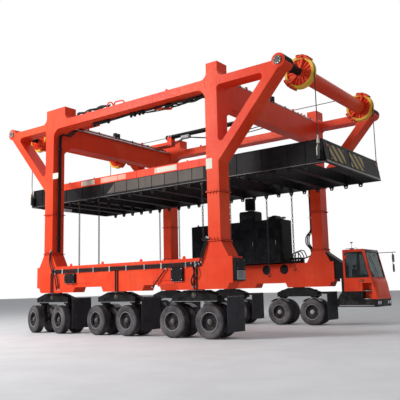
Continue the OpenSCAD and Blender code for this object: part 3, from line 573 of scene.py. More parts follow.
@dataclass(frozen=True)
class Metal:
    """Bare or plated metal with stains."""

    name: str
    colour: Colour
    stained: Colour
    rough: float = 0.4
    metallic: float = 0.9
    grain: float = 40.0

    def material(self) -> Material:
        """Builds the metal: noise in two sizes lays stains, which are also rougher."""
        n = Nodes(self.name)
        stain = n.ramp(n.maths("ADD", n.noise(4.0, detail=6.0), n.noise(self.grain, detail=4.0)), 0.8, 1.25)
        n.colour(n.mix(stain, self.colour, self.stained))
        n.rough(n.ramp(stain, 0.0, 1.0, self.rough, min(1.0, self.rough + 0.3)))
        n.fix("Metallic", self.metallic)
        n.bump(n.noise(self.grain * 3, detail=3.0), 0.12, 0.001)
        return n.material


@dataclass(frozen=True)
class Rope:
    """Greased wire rope: strands wind round it at a slant."""

    name: str
    colour: Colour
    glint: Colour
    lay: float = 0.11

    def material(self) -> Material:
        """Builds the rope: bands across the sum of all three places stand for the slanting strands."""
        n = Nodes(self.name)
        wave = n.add("ShaderNodeTexWave", wave_type="BANDS", bands_direction="DIAGONAL", Scale=1.0 / self.lay)
        wave.inputs["Distortion"].default_value = 0.6
        n.link(n.place, wave.inputs["Vector"])
        n.colour(n.mix(wave.outputs["Fac"], self.colour, self.glint))
        n.fix("Metallic", 0.6)
        n.fix("Roughness", 0.45)
        n.bump(wave.outputs["Fac"], 0.5, 0.004)
        return n.material


@dataclass(frozen=True)
class Glazing:
    """Tinted safety glass, thin enough to see through."""

    name: str
    tint: Colour
    rough: float = 0.03

    def material(self) -> Material:
        """Builds the glass: fully transmitting, with a little dust that makes it rougher in clouds."""
        n = Nodes(self.name)
        n.colour(n.mix(n.ramp(n.noise(3.0), 0.4, 0.8, 0.0, 0.25), self.tint, srgb(190, 196, 196)))
        n.rough(n.ramp(n.noise(9.0), 0.45, 0.8, self.rough, self.rough + 0.12))
        n.fix("Transmission Weight", 0.9)
        n.fix("IOR", 1.15)
        return n.material


@dataclass(frozen=True)
class Weave:
    """Woven seat cover: two crossing sets of threads."""

    name: str
    colour: Colour
    thread: Colour
    pitch: float = 0.004

    def material(self) -> Material:
        """Builds the cloth: bands along two directions multiply into a weave, noise wears it."""
        n = Nodes(self.name)
        bands = []
        for way in ("Y", "Z"):
            wave = n.add("ShaderNodeTexWave", wave_type="BANDS", bands_direction=way, Scale=0.3 / self.pitch)
            n.link(n.place, wave.inputs["Vector"])
            bands.append(wave.outputs["Fac"])
        weave = n.maths("MULTIPLY", *bands)
        worn = n.ramp(n.noise(12.0, detail=5.0), 0.35, 0.75, 0.2, 0.9)
        n.colour(n.mix(n.maths("MULTIPLY", weave, worn), self.colour, self.thread))
        n.fix("Roughness", 0.9)
        n.fix("Sheen Weight", 0.3)
        n.bump(weave, 0.3, 0.001)
        return n.material


@dataclass(frozen=True)
class Stripes:
    """Slanting warning stripes: every other one in each colour, by across plus slope times height."""

    name: str
    light: Colour
    dark: Colour
    pitch: float = 0.23
    slope: float = 1.0

    def material(self) -> Material:
        """Builds the stripes from the remainder of (Y + slope Z) over the pitch, with dirt over them."""
        n = Nodes(self.name)
        slant = n.maths("ADD", n.along(Axis.Y), n.maths("MULTIPLY", n.along(Axis.Z), self.slope))
        step = n.maths("PINGPONG", slant, self.pitch)
        sharp = n.ramp(step, 0.49 * self.pitch, 0.51 * self.pitch)
        base = n.mix(sharp, self.light, self.dark)
        dirt = n.ramp(n.noise(5.0, detail=7.0, rough=0.65), 0.45, 0.8, 0.0, 0.4)
        n.colour(n.mix(dirt, base, srgb(60, 56, 50)))
        n.rough(n.ramp(dirt, 0.0, 0.6, 0.4, 0.75))
        n.bump(n.noise(60.0), 0.06, 0.001)
        n.fix("Specular IOR Level", 0.06)
        return n.material


class Finish(Enum):
    """Every finish on the machine."""

    VERMILION = Paint("vermilion", srgb(224, 62, 32), srgb(234, 80, 46), shine=0.09)
    BLACK = Paint("black_paint", srgb(17, 17, 20), srgb(28, 27, 30), dust_share=0.3, dust_top=1.6, rough=0.5,
        streaks=0.2, shine=0.08)
    SHADE = Paint("black_shade", srgb(5, 5, 6), srgb(10, 10, 12), dust_share=0.1, rough=0.6, shine=0.05)
    PACK = Paint("pack_paint", srgb(11, 13, 18), srgb(20, 22, 28), dust_share=0.15, dust_top=4.0, rough=0.4,
        streaks=0.2, shine=0.03)
    YELLOW = Paint("yellow_paint", srgb(220, 166, 44), srgb(232, 190, 84), streaks=0.4, shine=0.1)
    CREAM = Paint("cream_plate", srgb(206, 200, 182), srgb(222, 218, 204), streaks=0.45, rough=0.5)
    # A pale grey for the strips along the girders' feet.
    GREY = Paint("grey_paint", srgb(150, 152, 156), srgb(176, 178, 180), dust_share=0.5)
    EDGE = Paint("worn_edge", srgb(70, 68, 70), srgb(112, 108, 106), streaks=0.2, rough=0.5)
    PALE_RED = Paint("pale_plate", srgb(222, 150, 128), srgb(230, 172, 152), streaks=0.4, rough=0.5)
    MIRROR = Metal("mirror_glass", srgb(150, 158, 166), srgb(120, 128, 136), 0.06, 1.0, 4.0)
    # A grey-brown tone for the panel on the near girder's web.
    DUSTY_WEB = Paint("dusty_web", srgb(70, 62, 56), srgb(92, 84, 76), streaks=0.5, rough=0.6)
    STEEL = Metal("bare_steel", srgb(176, 178, 182), srgb(128, 124, 120), 0.32)
    CAST = Metal("cast_steel", srgb(92, 88, 84), srgb(70, 56, 46), 0.5, 0.75)
    HUB = Paint("hub_grey", srgb(58, 57, 60), srgb(80, 78, 78), dust_share=0.4)
    CLUTCH = Paint("clutch_red", srgb(96, 30, 30), srgb(70, 44, 42), dust_share=0.2, streaks=0.5)
    HOOD = Paint("hood_grey", srgb(118, 116, 112), srgb(140, 138, 132), streaks=0.3, rough=0.5)
    CHAIN = Metal("chain_steel", srgb(44, 40, 42), srgb(34, 26, 24), 0.48, 0.6, 90.0)
    BOLT = Metal("dark_bolts", srgb(40, 38, 40), srgb(30, 26, 26), 0.45, 0.6, 120.0)
    ROPE = Rope("wire_rope", srgb(16, 16, 18), srgb(44, 42, 42))
    HOSE = Rubber("hose_rubber", srgb(12, 12, 14), srgb(44, 43, 44), dust_share=0.35)
    TREAD = Rubber("tyre_tread", srgb(26, 25, 28), srgb(98, 93, 94), dust_share=0.6)
    WALL = Rubber("tyre_wall", srgb(44, 42, 46), srgb(118, 112, 114), dust_share=0.75)
    FLAP = Rubber("flap_rubber", srgb(22, 24, 30), srgb(70, 70, 76), dust_share=0.5)
    PLASTIC = Rubber("dark_plastic", srgb(26, 26, 28), srgb(50, 50, 52), 0.55, 220.0, 0.25)
    GLASS = Glazing("tinted_glass", srgb(120, 130, 132))
    SEAT = Weave("seat_weave", srgb(26, 27, 30), srgb(60, 62, 68))
    STRIPES = Stripes("warning_stripes", srgb(170, 148, 92), srgb(16, 16, 18))
    AMBER = Paint("amber_lens", srgb(216, 112, 28), srgb(226, 130, 50), streaks=0.1, rough=0.2)
    RED_LENS = Paint("red_lens", srgb(150, 20, 18), srgb(170, 34, 28), streaks=0.1, rough=0.2)
    LAMP = Paint("lamp_lens", srgb(206, 210, 214), srgb(224, 226, 228), streaks=0.1, rough=0.15)


@functools.cache
def finish(which: Finish) -> Material:
    """The material of a finish, built when it is first asked for."""
    return which.value.material()


@dataclass
class WheelPairs:
    """Twin wheels, each pair turned to its own steering direction round the machine's turning point."""

    radius: float = 0.56
    width: float = 0.33
    gap: float = 0.34
    rim: float = 0.308
    hub: float = 0.096
    track: float = 3.7
    places: tuple[float, ...] = (-5.01, -3.46, -1.31, 0.24, 2.39, 3.94)
    turn: tuple[float, float] = (2.0, 24.0)
    lugs: int = 34

    def carcass(self) -> Shape:
        """The tyre: a closed ring through tread, shoulder, bulging walls and bead, round the axle Y."""
        h, r = self.width / 2, self.radius
        half = [(r - 0.02, 0.0), (r - 0.02, 0.45 * h), (r - 0.024, 0.8 * h), (r - 0.045, 0.93 * h),
            (r - 0.095, 0.992 * h), (r - 0.135, 0.995 * h), (r - 0.14, 0.975 * h), (r - 0.147, 0.975 * h),
            (r - 0.152, 0.985 * h), (r - 0.19, 0.955 * h), (self.rim + 0.024, 0.9 * h),
            (self.rim + 0.008, 0.86 * h), (self.rim - 0.02, 0.8 * h), (self.rim - 0.03, 0.6 * h)]
        loop = half + [(radius, -height) for radius, height in half[:0:-1]]
        return lathe(loop, Axis.Y, turns=72, ring=True)

    def tread(self) -> Shape:
        """Lugs: each is a slanting block (angle, across, radius) bent round the axle, narrower on top.

        One row lies at each shoulder, running in towards the middle; the rows are half a pitch apart.
        """
        h, r, pitch = self.width / 2, self.radius, TAU / self.lugs
        units = []
        for side in (-1.0, 1.0):
            across = np.array([0.948 * h, 0.8 * h, 0.42 * h, 0.06 * h])
            slant = np.array([0.0, 0.06, 0.3, 0.58]) * pitch
            wide = np.array([0.3, 0.3, 0.25, 0.19]) * pitch
            foot = np.array([r - 0.075, r - 0.03, r - 0.026, r - 0.026])
            top = np.array([r - 0.052, r - 0.004, r, r])
            rows = [np.stack([slant + way * wide * grow, side * (across - 0.004 * (grow < 1)), size], -1)
                for way, grow, size in ((-1, 1.0, foot), (-1, 0.84, top), (1, 0.84, top), (1, 1.0, foot))]
            strip = np.stack(rows, 1)
            start = np.arange(self.lugs) * pitch + (0.0 if side > 0 else 0.5 * pitch)
            angle = strip[None, ..., 0] + start[:, None, None]
            radius = np.broadcast_to(strip[None, ..., 2], angle.shape)
            height = np.broadcast_to(strip[None, ..., 1], angle.shape)
            points = np.stack([radius * np.sin(angle), height, radius * np.cos(angle)], -1)
            faces = (swept_faces(4)[None] + 16 * np.arange(self.lugs)[:, None, None]).reshape(-1, 4)
            units.append(Shape(points.reshape(-1, 3), [faces]))
        return join(units)

    def rim_disc(self, out: float) -> Shape:
        """The rim on the outer side: lip, deep well, disc and the step towards the hub.

        Args:
            out: half width of the tyre, where height 0 of the profile starts inwards.
        Returns:
            The turned shape, facing +Y.
        """
        r = self.rim
        profile = [(r + 0.006, out - 0.07), (r + 0.012, out - 0.022), (r + 0.004, out - 0.016),
            (r - 0.01, out - 0.018), (r - 0.016, out - 0.032), (r - 0.026, out - 0.06),
            (r - 0.04, out - 0.12), (r - 0.06, out - 0.136), (r - 0.1, out - 0.128),
            (self.hub + 0.075, out - 0.126), (self.hub + 0.068, out - 0.132), (self.hub, out - 0.132),
            (0.002, out - 0.132), (0.002, out - 0.2), (r - 0.02, out - 0.2)]
        return lathe(profile, Axis.Y, turns=56, ring=True)

    def lip(self, out: float) -> Shape:
        """The rim's worn lip: a thin ring of round section where the tyre's bead meets the flange."""
        angle = np.arange(12) * TAU / 12
        profile = np.stack([self.rim + 0.004 + 0.0075 * np.cos(angle), out - 0.0165 + 0.0065 * np.sin(angle)],
            -1)
        return lathe(profile, Axis.Y, turns=56, ring=True)

    def hub_cap(self, out: float) -> Shape:
        """The planetary hub: a stepped drum with a domed cover."""
        r = self.hub
        profile = [(r, out - 0.134), (r, out - 0.062), (r - 0.006, out - 0.056), (r - 0.014, out - 0.054),
            (r - 0.018, out - 0.036), (r - 0.03, out - 0.028), (0.4 * r, out - 0.0215), (0.001, out - 0.0205)]
        return lathe(profile, Axis.Y, turns=40)

    def wheel(self, dark: bool) -> list[tuple[Shape, Finish]]:
        """One wheel standing at its place in the pair, outer side towards +Y.

        Args:
            dark: whether its rim and hub are black, as on the outer wheels.
        Returns:
            Its shapes with their finishes.
        """
        out = self.width / 2
        middle = (self.gap + self.width) / 2
        nuts = round_places((0, out - 0.128, 0), 0.165, 10)
        screws = round_places((0, out - 0.026, 0), 0.058, 8)
        valve = tube([(0.235, out - 0.13, 0.02), (0.245, out - 0.09, 0.02), (0.262, out - 0.055, 0.02)],
            0.006, 8)
        back = lathe([(self.rim - 0.01, -out + 0.03), (self.rim - 0.025, -out + 0.062), (0.152, -out + 0.062),
            (0.152, -out + 0.085), (self.rim - 0.035, -out + 0.085)], Axis.Y, turns=48, ring=True)
        parts = [
            (self.carcass(), Finish.WALL),
            (self.tread(), Finish.TREAD),
            (self.rim_disc(out), Finish.BLACK),
            (self.lip(out), Finish.GREY),
            (back, Finish.BLACK),
            (self.hub_cap(out), Finish.HUB if dark else Finish.GREY),
            (bolts(nuts, (0, 1, 0), 0.040), Finish.BOLT),
            (bolts(screws, (0, 1, 0), 0.014, False), Finish.BOLT),
            (valve, Finish.STEEL)]
        return [(shape.placed(shift=(0, middle, 0)), look) for shape, look in parts]

    def shaft(self) -> Shape:
        """The common shaft with its flanges between the two wheels' inner faces."""
        end = self.gap / 2 + 0.06
        half = [(0.15, end), (0.15, end - 0.015), (0.078, end - 0.015), (0.078, 0.0)]
        return lathe([(0.001, end)] + half + [(r, -h) for r, h in half[-2::-1]] + [(0.001, -end)], Axis.Y,
            turns=32)

    def build(self) -> None:
        """Builds the twelve pairs, each turned to the direction atan2(x - turn_x, turn_y - y)."""
        for side, name in ((-1, "near"), (1, "far")):
            for number, x in enumerate(self.places, 1):
                y = side * self.track
                angle = math.atan2(x - self.turn[0], self.turn[1] - y)
                turn = turned(angle, Axis.Z)
                flip = np.diag([-1.0, -1.0, 1.0])
                piece = Piece(f"{name}_wheel_pair_{number}_dressed", f"{name}_wheel_pair_{number}",
                    "tyre_rubber")
                for half, way in ((1, np.eye(3)), (-1, flip)):
                    spin = turned(0.37 * number + 0.9 * (half > 0), Axis.Y)
                    for shape, look in self.wheel(half == side):
                        piece.add(shape.placed(turn @ way @ spin, (x, y + MID, self.radius)), look)
                piece.add(self.shaft().placed(turn, (x, y + MID, self.radius)), Finish.CAST)
                piece.make(replaces=[f"{name}_wheels_{number}"])


@dataclass
class Sheaves:
    """The grooved rope sheaves on the end shafts: yellow rims, red cheeks with slots and ribs."""

    x: float = 6.91
    z: float = 8.79
    y: float = 2.6
    groove: float = 0.5
    out: float = 0.548
    width: float = 0.21
    shaft: float = 0.12

    def rim(self) -> Shape:
        """The rim: a round groove for the rope between two flanges."""
        h, r = self.width / 2, self.out
        groove = [(self.groove + 0.03, 0.036), (self.groove + 0.008, 0.022), (self.groove, 0.0)]
        half = [(0.45, h - 0.012), (0.462, h), (r - 0.004, h), (r, h - 0.004), (r, h - 0.022)] + groove
        loop = half + [(a, -b) for a, b in half[-2::-1]]
        return lathe(loop, Axis.Y, turns=72, ring=True)

    def web(self) -> Shape:
        """The web between hub and rim, a flat disc."""
        t = self.width / 6
        return lathe([(0.17, t), (0.456, t), (0.456, -t), (0.17, -t)], Axis.Y, turns=72, ring=True)

    def hub(self) -> Shape:
        """The hub with chamfered ends, bored for its shaft."""
        h, bore = self.width / 2, self.shaft + 0.0005
        loop = [(bore, h - 0.006), (bore + 0.006, h), (0.184, h), (0.19, h - 0.006), (0.19, 0.006 - h),
            (0.184, -h), (bore + 0.006, -h), (bore, 0.006 - h)]
        return lathe(loop, Axis.Y, turns=48, ring=True)

    def spokes(self, count: int) -> Shape:
        """Ribs on both faces of the web, from hub to rim: the slots' long dark gaps lie between them."""
        rib = block((0.18, -self.width / 2 + 0.018, -0.016), (0.455, self.width / 2 - 0.018, 0.016), 0.004)
        angle = np.arange(count) * TAU / count
        turns = np.stack([turned(a, Axis.Y) for a in angle])
        return repeat(rib, np.zeros((count, 3)), turns)

    def build(self) -> None:
        """Builds both pairs, each in place of its node."""
        for end, name in ((1, "front"), (-1, "rear")):
            piece = Piece(f"{name}_sheaves_dressed", f"{name}_sheaves", "yellow_paint")
            for side in BOTH:
                spot = (end * self.x, MID + side * self.y, self.z)
                for face in BOTH:
                    nuts = round_places((0, face * self.width / 2, 0), 0.155, 12)
                    piece.add(bolts(nuts, (0, face, 0), 0.026).placed(shift=spot), Finish.BOLT)
                piece.add(self.rim().placed(shift=spot), Finish.YELLOW)
                piece.add(self.web().placed(shift=spot), Finish.VERMILION)
                piece.add(self.spokes(16).placed(shift=spot), Finish.VERMILION)
                piece.add(self.hub().placed(shift=spot), Finish.VERMILION)
            piece.make(replaces=[f"{name}_sheaves"])


@dataclass
class Slings:
    """Chain slings on the lifting frame's lugs: shackle, upper links, clutch hook, links and open hook."""

    pitch: float = 0.62
    y: float = 2.365
    low: float = 5.65
    drop: float = 0.09
    bar: float = 0.012
    inner: tuple[float, float] = (0.11, 0.034)
    step: float = 0.1106
    table: tuple[tuple[int, int, int], ...] = (
        (-7, -1, 24), (-5, -1, 24), (4, -1, 16), (6, -1, 18), (-6, 1, 20), (-4, 1, 20), (4, 1, 28), (6, 1, 26))

    def link(self) -> Shape:
        """One link: a circle carried round an oval of two straights and two half circles, in X and Z."""
        r = self.inner[1] / 2 + self.bar
        straight = self.inner[0] / 2 - self.inner[1] / 2
        angle = np.arange(14) * TAU / 14 + TAU / 28
        line = np.stack([r * np.cos(angle), np.zeros(14),
            r * np.sin(angle) + np.sign(np.sin(angle)) * straight], -1)
        out = np.stack([np.cos(angle), np.zeros(14), np.sin(angle)], -1)
        around = np.arange(6) * TAU / 6
        ring = line[:, None] + self.bar * (out[:, None] * np.cos(around)[None, :,
            None] + np.array([0, 1.0, 0]) * np.sin(around)[None, :, None])
        return Shape(ring.reshape(-1, 3), [grid_faces(14, 6, True, True)])

    def shackle(self) -> Shape:
        """A bow shackle: its bow hangs from the ends of the pin through the lug's hole."""
        side = 0.0303 + self.bar
        pin_z = 0.0223 - 0.032
        bow = rounded_path([(0, -side, pin_z), (0, -side, -0.11 + self.bar), (0, side, -0.11 + self.bar),
            (0, side, pin_z)], 0.03, 6)
        pin = tube([(0, -side - 0.022, pin_z), (0, side + 0.022, pin_z)], 0.016, 14)
        eyes = [lathe([(0.016, y - 0.012), (0.027, y - 0.011), (0.027, y + 0.011), (0.016, y + 0.012)],
            Axis.Y, (0, 0, pin_z), 20, True) for y in (-side, side)]
        nut = bolts([(0, side + 0.012, pin_z)], (0, 1, 0), 0.038, False)
        return join([tube(bow, self.bar, 10, (1.0, 0.0, 0.0)), pin, nut] + eyes)

    def hook(self) -> Shape:
        """An open hook: a bar that thins from the eye round a circle to its upturned tip."""
        t = np.linspace(0.0, 1.0, 22)
        angle = math.radians(78) - t * math.radians(300)
        radius = 0.0635
        middle = np.stack([radius * np.cos(angle), np.zeros(22), radius * np.sin(angle)], -1)
        thick = 0.0205 * np.sqrt(np.clip(np.sin(np.pi * (0.16 + 0.8 * t)), 0.08, 1.0))
        body = tube(middle, thick, 12, SIDEWAYS)
        neck = tube([(0.0, 0, 0.062), (0.0, 0, 0.075), (0.0, 0, 0.088)], [0.018, 0.017, 0.013], 12, SIDEWAYS)
        latch = upright([(-0.005, 0.0), (0.005, 0.0), (0.004, 0.075), (-0.004, 0.075)],
            (0.034, 0.007, -0.026), 0.014, 0.0015)
        return join([body, neck, latch])

    def build(self) -> None:
        """Builds all eight slings as one piece in place of their node."""
        piece = Piece("chain_slings", "spreader", "cast_steel")
        quarter = turned(math.pi / 2, Axis.Z)
        turns = np.stack([np.eye(3), quarter])
        first = 2 * self.bar - 0.11 - 0.0006 - self.inner[0] / 2
        for place, side, count in self.table:
            spot = np.array([place * self.pitch, MID + side * self.y, self.low - self.drop])
            number = np.arange(count + 1)
            places = spot + piled(first - number * self.step)
            piece.add(repeat(self.link(), places, turns[number % 2]), Finish.CHAIN)
            piece.add(self.shackle().placed(shift=spot), Finish.CLUTCH)
            turn = turns[count % 2]
            end = places[-1] + np.array([0, 0, -self.inner[0] / 2 - 2 * self.bar - 0.085])
            piece.add(self.hook().placed(turn, end), Finish.CHAIN)
        piece.make(smooth=60.0, replaces=["slings"])


@dataclass
class RopeSockets:
    """The ropes' lower ends: cast sockets, clevis plates and the brackets on the lifting frame."""

    x: float = 7.4263
    y: float = 2.6
    spread_y: float = 2.44
    top: float = 6.55
    low: float = 6.26

    def socket(self) -> Shape:
        """The socket: a cone that widens from the rope to its basket, then two cheeks."""
        profile = [(0.02, 0.0), (0.026, -0.004), (0.03, -0.1), (0.046, -0.17), (0.048, -0.2), (0.048, -0.275),
            (0.04, -0.29), (0.001, -0.29)]
        return lathe([(0.001, 0.0)] + profile, turns=28)

    def build(self) -> None:
        """Builds the four ends."""
        piece = Piece("rope_sockets_dressed", "spreader", "bare_steel")
        for end, side in CORNERS:
            x, y = end * self.x, MID + side * self.y
            piece.add(self.socket().placed(shift=(x, y, self.top)), Finish.CREAM)
            cheeks = [upright([(-0.038, 0.0), (0.038, 0.0), (0.055, -0.12), (0.055, -0.44), (0.035, -0.53),
                (-0.035, -0.53), (-0.055, -0.44), (-0.055, -0.12)], (x, y + shift + 0.008, self.low + 0.01),
                0.016, 0.002) for shift in (-0.017, 0.017)]
            piece.add(join(cheeks), Finish.BOLT)
            pins = join([tube([(x, y - 0.024, z), (x, y + 0.024, z)], 0.022, 18) for z in (6.19, 5.82)])
            piece.add(pins, Finish.BOLT)
            lever = upright([(-0.014, 0.0), (0.014, 0.0), (0.018, 0.26), (0.05, 0.34), (0.03, 0.36),
                (-0.014, 0.27)], (x - 0.046, y - 0.03, 5.86), 0.01, 0.002)
            piece.add(lever, Finish.CREAM)
            out, back = y - side * 0.025, MID + side * self.spread_y
            bracket = [((x - half, out, low), (x + half, back, high))
                       for half, low, high in ((0.11, 5.75, 5.785), (0.11, 6.015, 6.05), (0.095, 5.78, 6.02))]
            piece.add(blocks(bracket, 0.004), Finish.BLACK)
        piece.make(replaces=["rope_sockets"])


@dataclass
class SideFrames:
    """Joint bolts, end caps, blank plates, black discs that paint the ports' shaded insides, and brackets on the
    two side frames.
    """

    plate_z: tuple[float, float, float, float] = (3.2, 3.23, 4.85, 4.88)
    lip: float = 0.0225
    cap_x: float = 6.91
    cap_z: float = 8.79
    boss_r: float = 0.2405
    nose_y: float = 4.14
    weld_r: float = 0.006
    sheave_y: float = 2.6

    def joint_bolts(self) -> None:
        """Bolts stand all round each joint plate's lip, heads over it and nuts under it."""
        piece = Piece("joint_bolts", "chassis", "bare_steel")
        for end, side in CORNERS:
            x, y = end * LEG_X, MID + side * LEG_Y
            along = np.linspace(-0.19, 0.19, 4)
            across = np.linspace(-0.24, 0.24, 5)
            rim = [(x + a, y + way * (0.3 + self.lip)) for a in along for way in BOTH]
            rim += [(x + way * (LEG_HALF + self.lip), y + b) for b in across for way in BOTH]
            spots = np.array(rim)
            for z, way in zip(self.plate_z, (-1, 1, -1, 1)):
                places = np.column_stack([spots, np.full(len(spots), z)])
                piece.add(bolts(places, (0, 0, way), 0.046), Finish.BOLT)
        piece.make()

    def gussets(self) -> None:
        """Small stiffening plates between the joint plates' lips and the leg's faces."""
        piece = Piece("joint_gussets", "chassis", "vermilion_paint")
        for end, side in CORNERS:
            x, y = end * LEG_X, MID + side * LEG_Y
            face = y + side * 0.3
            for a in (-0.127, 0.0, 0.127):
                for z, rise in ((3.23, 0.1), (4.85, -0.1)):
                    outline = [(0.0, 0.0), (0.04, 0.0), (0.04, 0.02 * np.sign(rise)), (0.008, rise),
                        (0.0, rise)]
                    piece.add(prism(outline, (x + a - 0.006, face, z), (0, side, 0), (0, 0, 1), side * 0.012,
                        0.0015), Finish.VERMILION)
        piece.make()

    def nose_bolts(self) -> None:
        """A ring of bolts and a raised centre on each end cap of the noses."""
        piece = Piece("end_cap_bolts", "chassis", "bare_steel")
        for end, side in CORNERS:
            face = MID + side * 4.185
            spots = round_places((end * self.cap_x, face, self.cap_z), 0.112, 8, start=0.2)
            piece.add(bolts(spots, (0, side, 0), 0.026), Finish.STEEL)
            collar = lathe([(0.19, 0.0), (0.205, 0.004), (0.205, 0.01), (0.198, 0.014), (0.15, 0.014),
                (0.146, 0.0)], Axis.Y, turns=48, ring=True)
            flip = np.diag([1.0, side, 1.0])
            piece.add(collar.placed(flip, (end * self.cap_x, MID + side * self.nose_y, self.cap_z)),
                Finish.VERMILION)
        piece.make()

    def shafts(self) -> None:
        """Dark sleeves over the outer shafts and their collars, in two steps."""
        piece = Piece("shaft_sleeves", "chassis", "black_paint")
        steps = [(0.121, 2.75), (0.132, 2.755), (0.132, 3.17), (0.172, 3.18), (0.172, 3.53), (0.166, 3.534),
            (0.166, 3.2), (0.121, 3.19)]
        for end, side in CORNERS:
            piece.add(lathe(steps, Axis.Y, turns=40, ring=True).placed(np.diag([1.0, side, 1.0]),
                (end * self.cap_x, MID, self.cap_z)), Finish.BLACK)
            strip = arc_strip(end, self.boss_r, self.boss_r + 0.008, -8.0, 88.0, 25)
            piece.add(upright(strip,
                (end * self.cap_x, MID + side * 3.56 - (0.0 if side > 0 else 0.54), self.cap_z), -0.54, 0.0),
                Finish.SHADE)
        piece.make()

    def keepers(self) -> None:
        """Rope keepers: bars across each sheave's rim on two arc plates, with arms to pipe and shaft."""
        piece = Piece("rope_keepers", "chassis", "vermilion_paint")
        for end in BOTH:
            for start, stop in ((44.0, 98.0), (196.0, 246.0)):
                arc = arc_strip(end, 0.5, 0.602, start, stop, 10)
                middle = math.radians((start + stop) / 2)
                way, wide = (end * math.cos(middle), math.sin(middle)), 0.045
                arm = [(r * way[0] - s * wide * way[1], r * way[1] + s * wide * way[0])
                    for r, s in ((0.1, -1), (0.54, -1), (0.54, 1), (0.1, 1))]
                for side in BOTH:
                    y = MID + side * self.sheave_y
                    for face in (-0.146, 0.134):
                        for outline in (arc, arm):
                            piece.add(upright(outline, (end * self.cap_x, y + face, self.cap_z), -0.012,
                                0.001), Finish.VERMILION)
                    for angle in np.linspace(start + 7, stop - 7, 3):
                        turn = turned(-math.radians(angle), Axis.Y)
                        bar = block((0.562, -0.146, -0.055), (0.604, 0.146, 0.055), 0.006)
                        piece.add(bar.placed(np.diag([end, 1.0, 1.0]) @ turn,
                            (end * self.cap_x, y, self.cap_z)), Finish.VERMILION)
        piece.make()

    def beam_pipes(self) -> None:
        """Silver and dark pipes along the cross beams' upper edges, with clamps and a valve pair on each."""
        piece = Piece("beam_pipes", "chassis", "bare_steel")
        for x in (-4.055, 4.445):
            for shift, rise, radius, look in ((0.0, 0.052, 0.042, Finish.STEEL),
                    (-0.09, 0.075, 0.026, Finish.HOSE)):
                z = TOP + rise
                piece.add(tube(np.linspace((x + shift, MID - 2.9, z), (x + shift, MID + 3.3, z), 9), radius,
                    14), look)
            clips = [((x - 0.13, y - 0.025, TOP), (x + 0.05, y + 0.025, 8.93))
                for y in MID + np.linspace(-2.6, 3.0, 6)]
            piece.add(blocks(clips, 0.006), Finish.BLACK)
            for y in (MID - 0.45, MID - 0.25):
                piece.add(block((x - 0.12, y, 8.83), (x + 0.06, y + 0.12, 9.1), 0.012), Finish.HOSE)
                piece.add(bolts([(x - 0.03, y + 0.06, 9.1)], (0, 0, 1), 0.05), Finish.STEEL)
            for y in (MID - 2.2, MID + 1.4):
                piece.add(block((x - 0.02, y, TOP), (x + 0.05, y + 0.1, 8.97), 0.01), Finish.VERMILION)
        piece.make(smooth=45.0)

    def top_hoses(self) -> None:
        """On the near top beam: a hose bundle, two loop handles, and clamps, hoses and an arm under it."""
        piece = Piece("top_beam_gear", "chassis", "hose_rubber")
        y = MID - 4.0
        t = np.linspace(0.0, 1.0, 24)
        for k in range(3):
            hump = 8.865 + 0.05 * k + 0.09 * np.abs(np.sin(math.pi * (2.6 * t + 0.3 * k)))
            path = np.column_stack([-2.75 + 1.85 * t, y + 0.07 * k + 0.02 * np.sin(7 * t), hump])
            piece.add(tube(path, 0.034, 10, SIDEWAYS), Finish.HOSE)
        for x0, x1, rise in ((-0.92, -0.55, 0.24), (-0.55, 0.06, 0.19)):
            path = rounded_path([(x0, y, 8.8), (x0 + 0.04, y, TOP + rise), (x1 - 0.1, y, TOP + rise * 0.9),
                (x1, y, 8.8)], 0.09, 6)
            piece.add(tube(path, 0.028, 10, SIDEWAYS), Finish.VERMILION)
        low, inner = 8.5, MID - 3.62
        for x0, x1 in ((-2.0, -1.1), (0.05, 0.35), (0.5, 0.78)):
            piece.add(block((x0, inner - 0.16, low - 0.1), (x1, inner, low), 0.012), Finish.HOSE)
            for end in (x0 + 0.05, x1 - 0.05):
                piece.add(lathe([(0.001, -0.06), (0.05, -0.055), (0.055, 0.05), (0.001, 0.05)],
                    centre=(end, inner - 0.08, low - 0.11), turns=14), Finish.BLACK)
        for k in range(5):
            start = (-2.1, -1.9, 1.9, 1.8, 1.7)[k]
            path = np.column_stack([start + (3.96 - start) * t,
                inner - 0.05 - 0.055 * (k % 3) + 0.01 * np.sin(9 * t + k),
                low - 0.03 - 0.045 * (k // 2) - (0.03 + 0.012 * k) * np.abs(np.sin(9.4 * t + 0.4 * k))])
            piece.add(tube(path, 0.028, 8, SIDEWAYS), Finish.HOSE)
        arm = [(1.25, 0.0), (1.34, 0.0), (2.05, -0.16), (2.12, -0.1), (2.12, -0.24), (2.0, -0.24),
            (1.25, -0.09)]
        piece.add(upright(arm, (0, inner, low), 0.03, 0.003), Finish.VERMILION)
        piece.make(smooth=55.0)

    def plates(self) -> None:
        """Blank plates where the machine would carry its signs, and black discs deep in the round ports, painted
        shade for their dark open insides.
        """
        piece = Piece("blank_plates", "chassis", "bare_steel")
        out = NEAR_OUT
        for x, z, wide, high in ((-4.02, 6.35, 0.34, 0.24), (3.98, 5.65, 0.26, 0.36)):
            piece.add(block((x, out - 0.004, z), (x + wide, out, z + high), 0.0015), Finish.CREAM)
            corners = [(x + a, out - 0.004, z + b) for a in (0.02, wide - 0.02) for b in (0.02, high - 0.02)]
            piece.add(bolts(corners, (0, -1, 0), 0.014, False), Finish.STEEL)
        for x in (1.64, 2.56):
            # A black disc at the bottom of each open port: painted shade that stands in for its dark inside.
            cover = lathe([(0.001, 0.002), (0.205, 0.002), (0.212, 0.006), (0.216, 0.0), (0.216, -0.004)],
                Axis.Y, (x, FAR_IN + 0.046, 2.425), 48)
            piece.add(cover, Finish.BLACK)
            spots = round_places((x, FAR_IN + 0.044, 2.425), 0.185, 12)
            piece.add(bolts(spots, (0, -1, 0), 0.026), Finish.BOLT)
        piece.make()

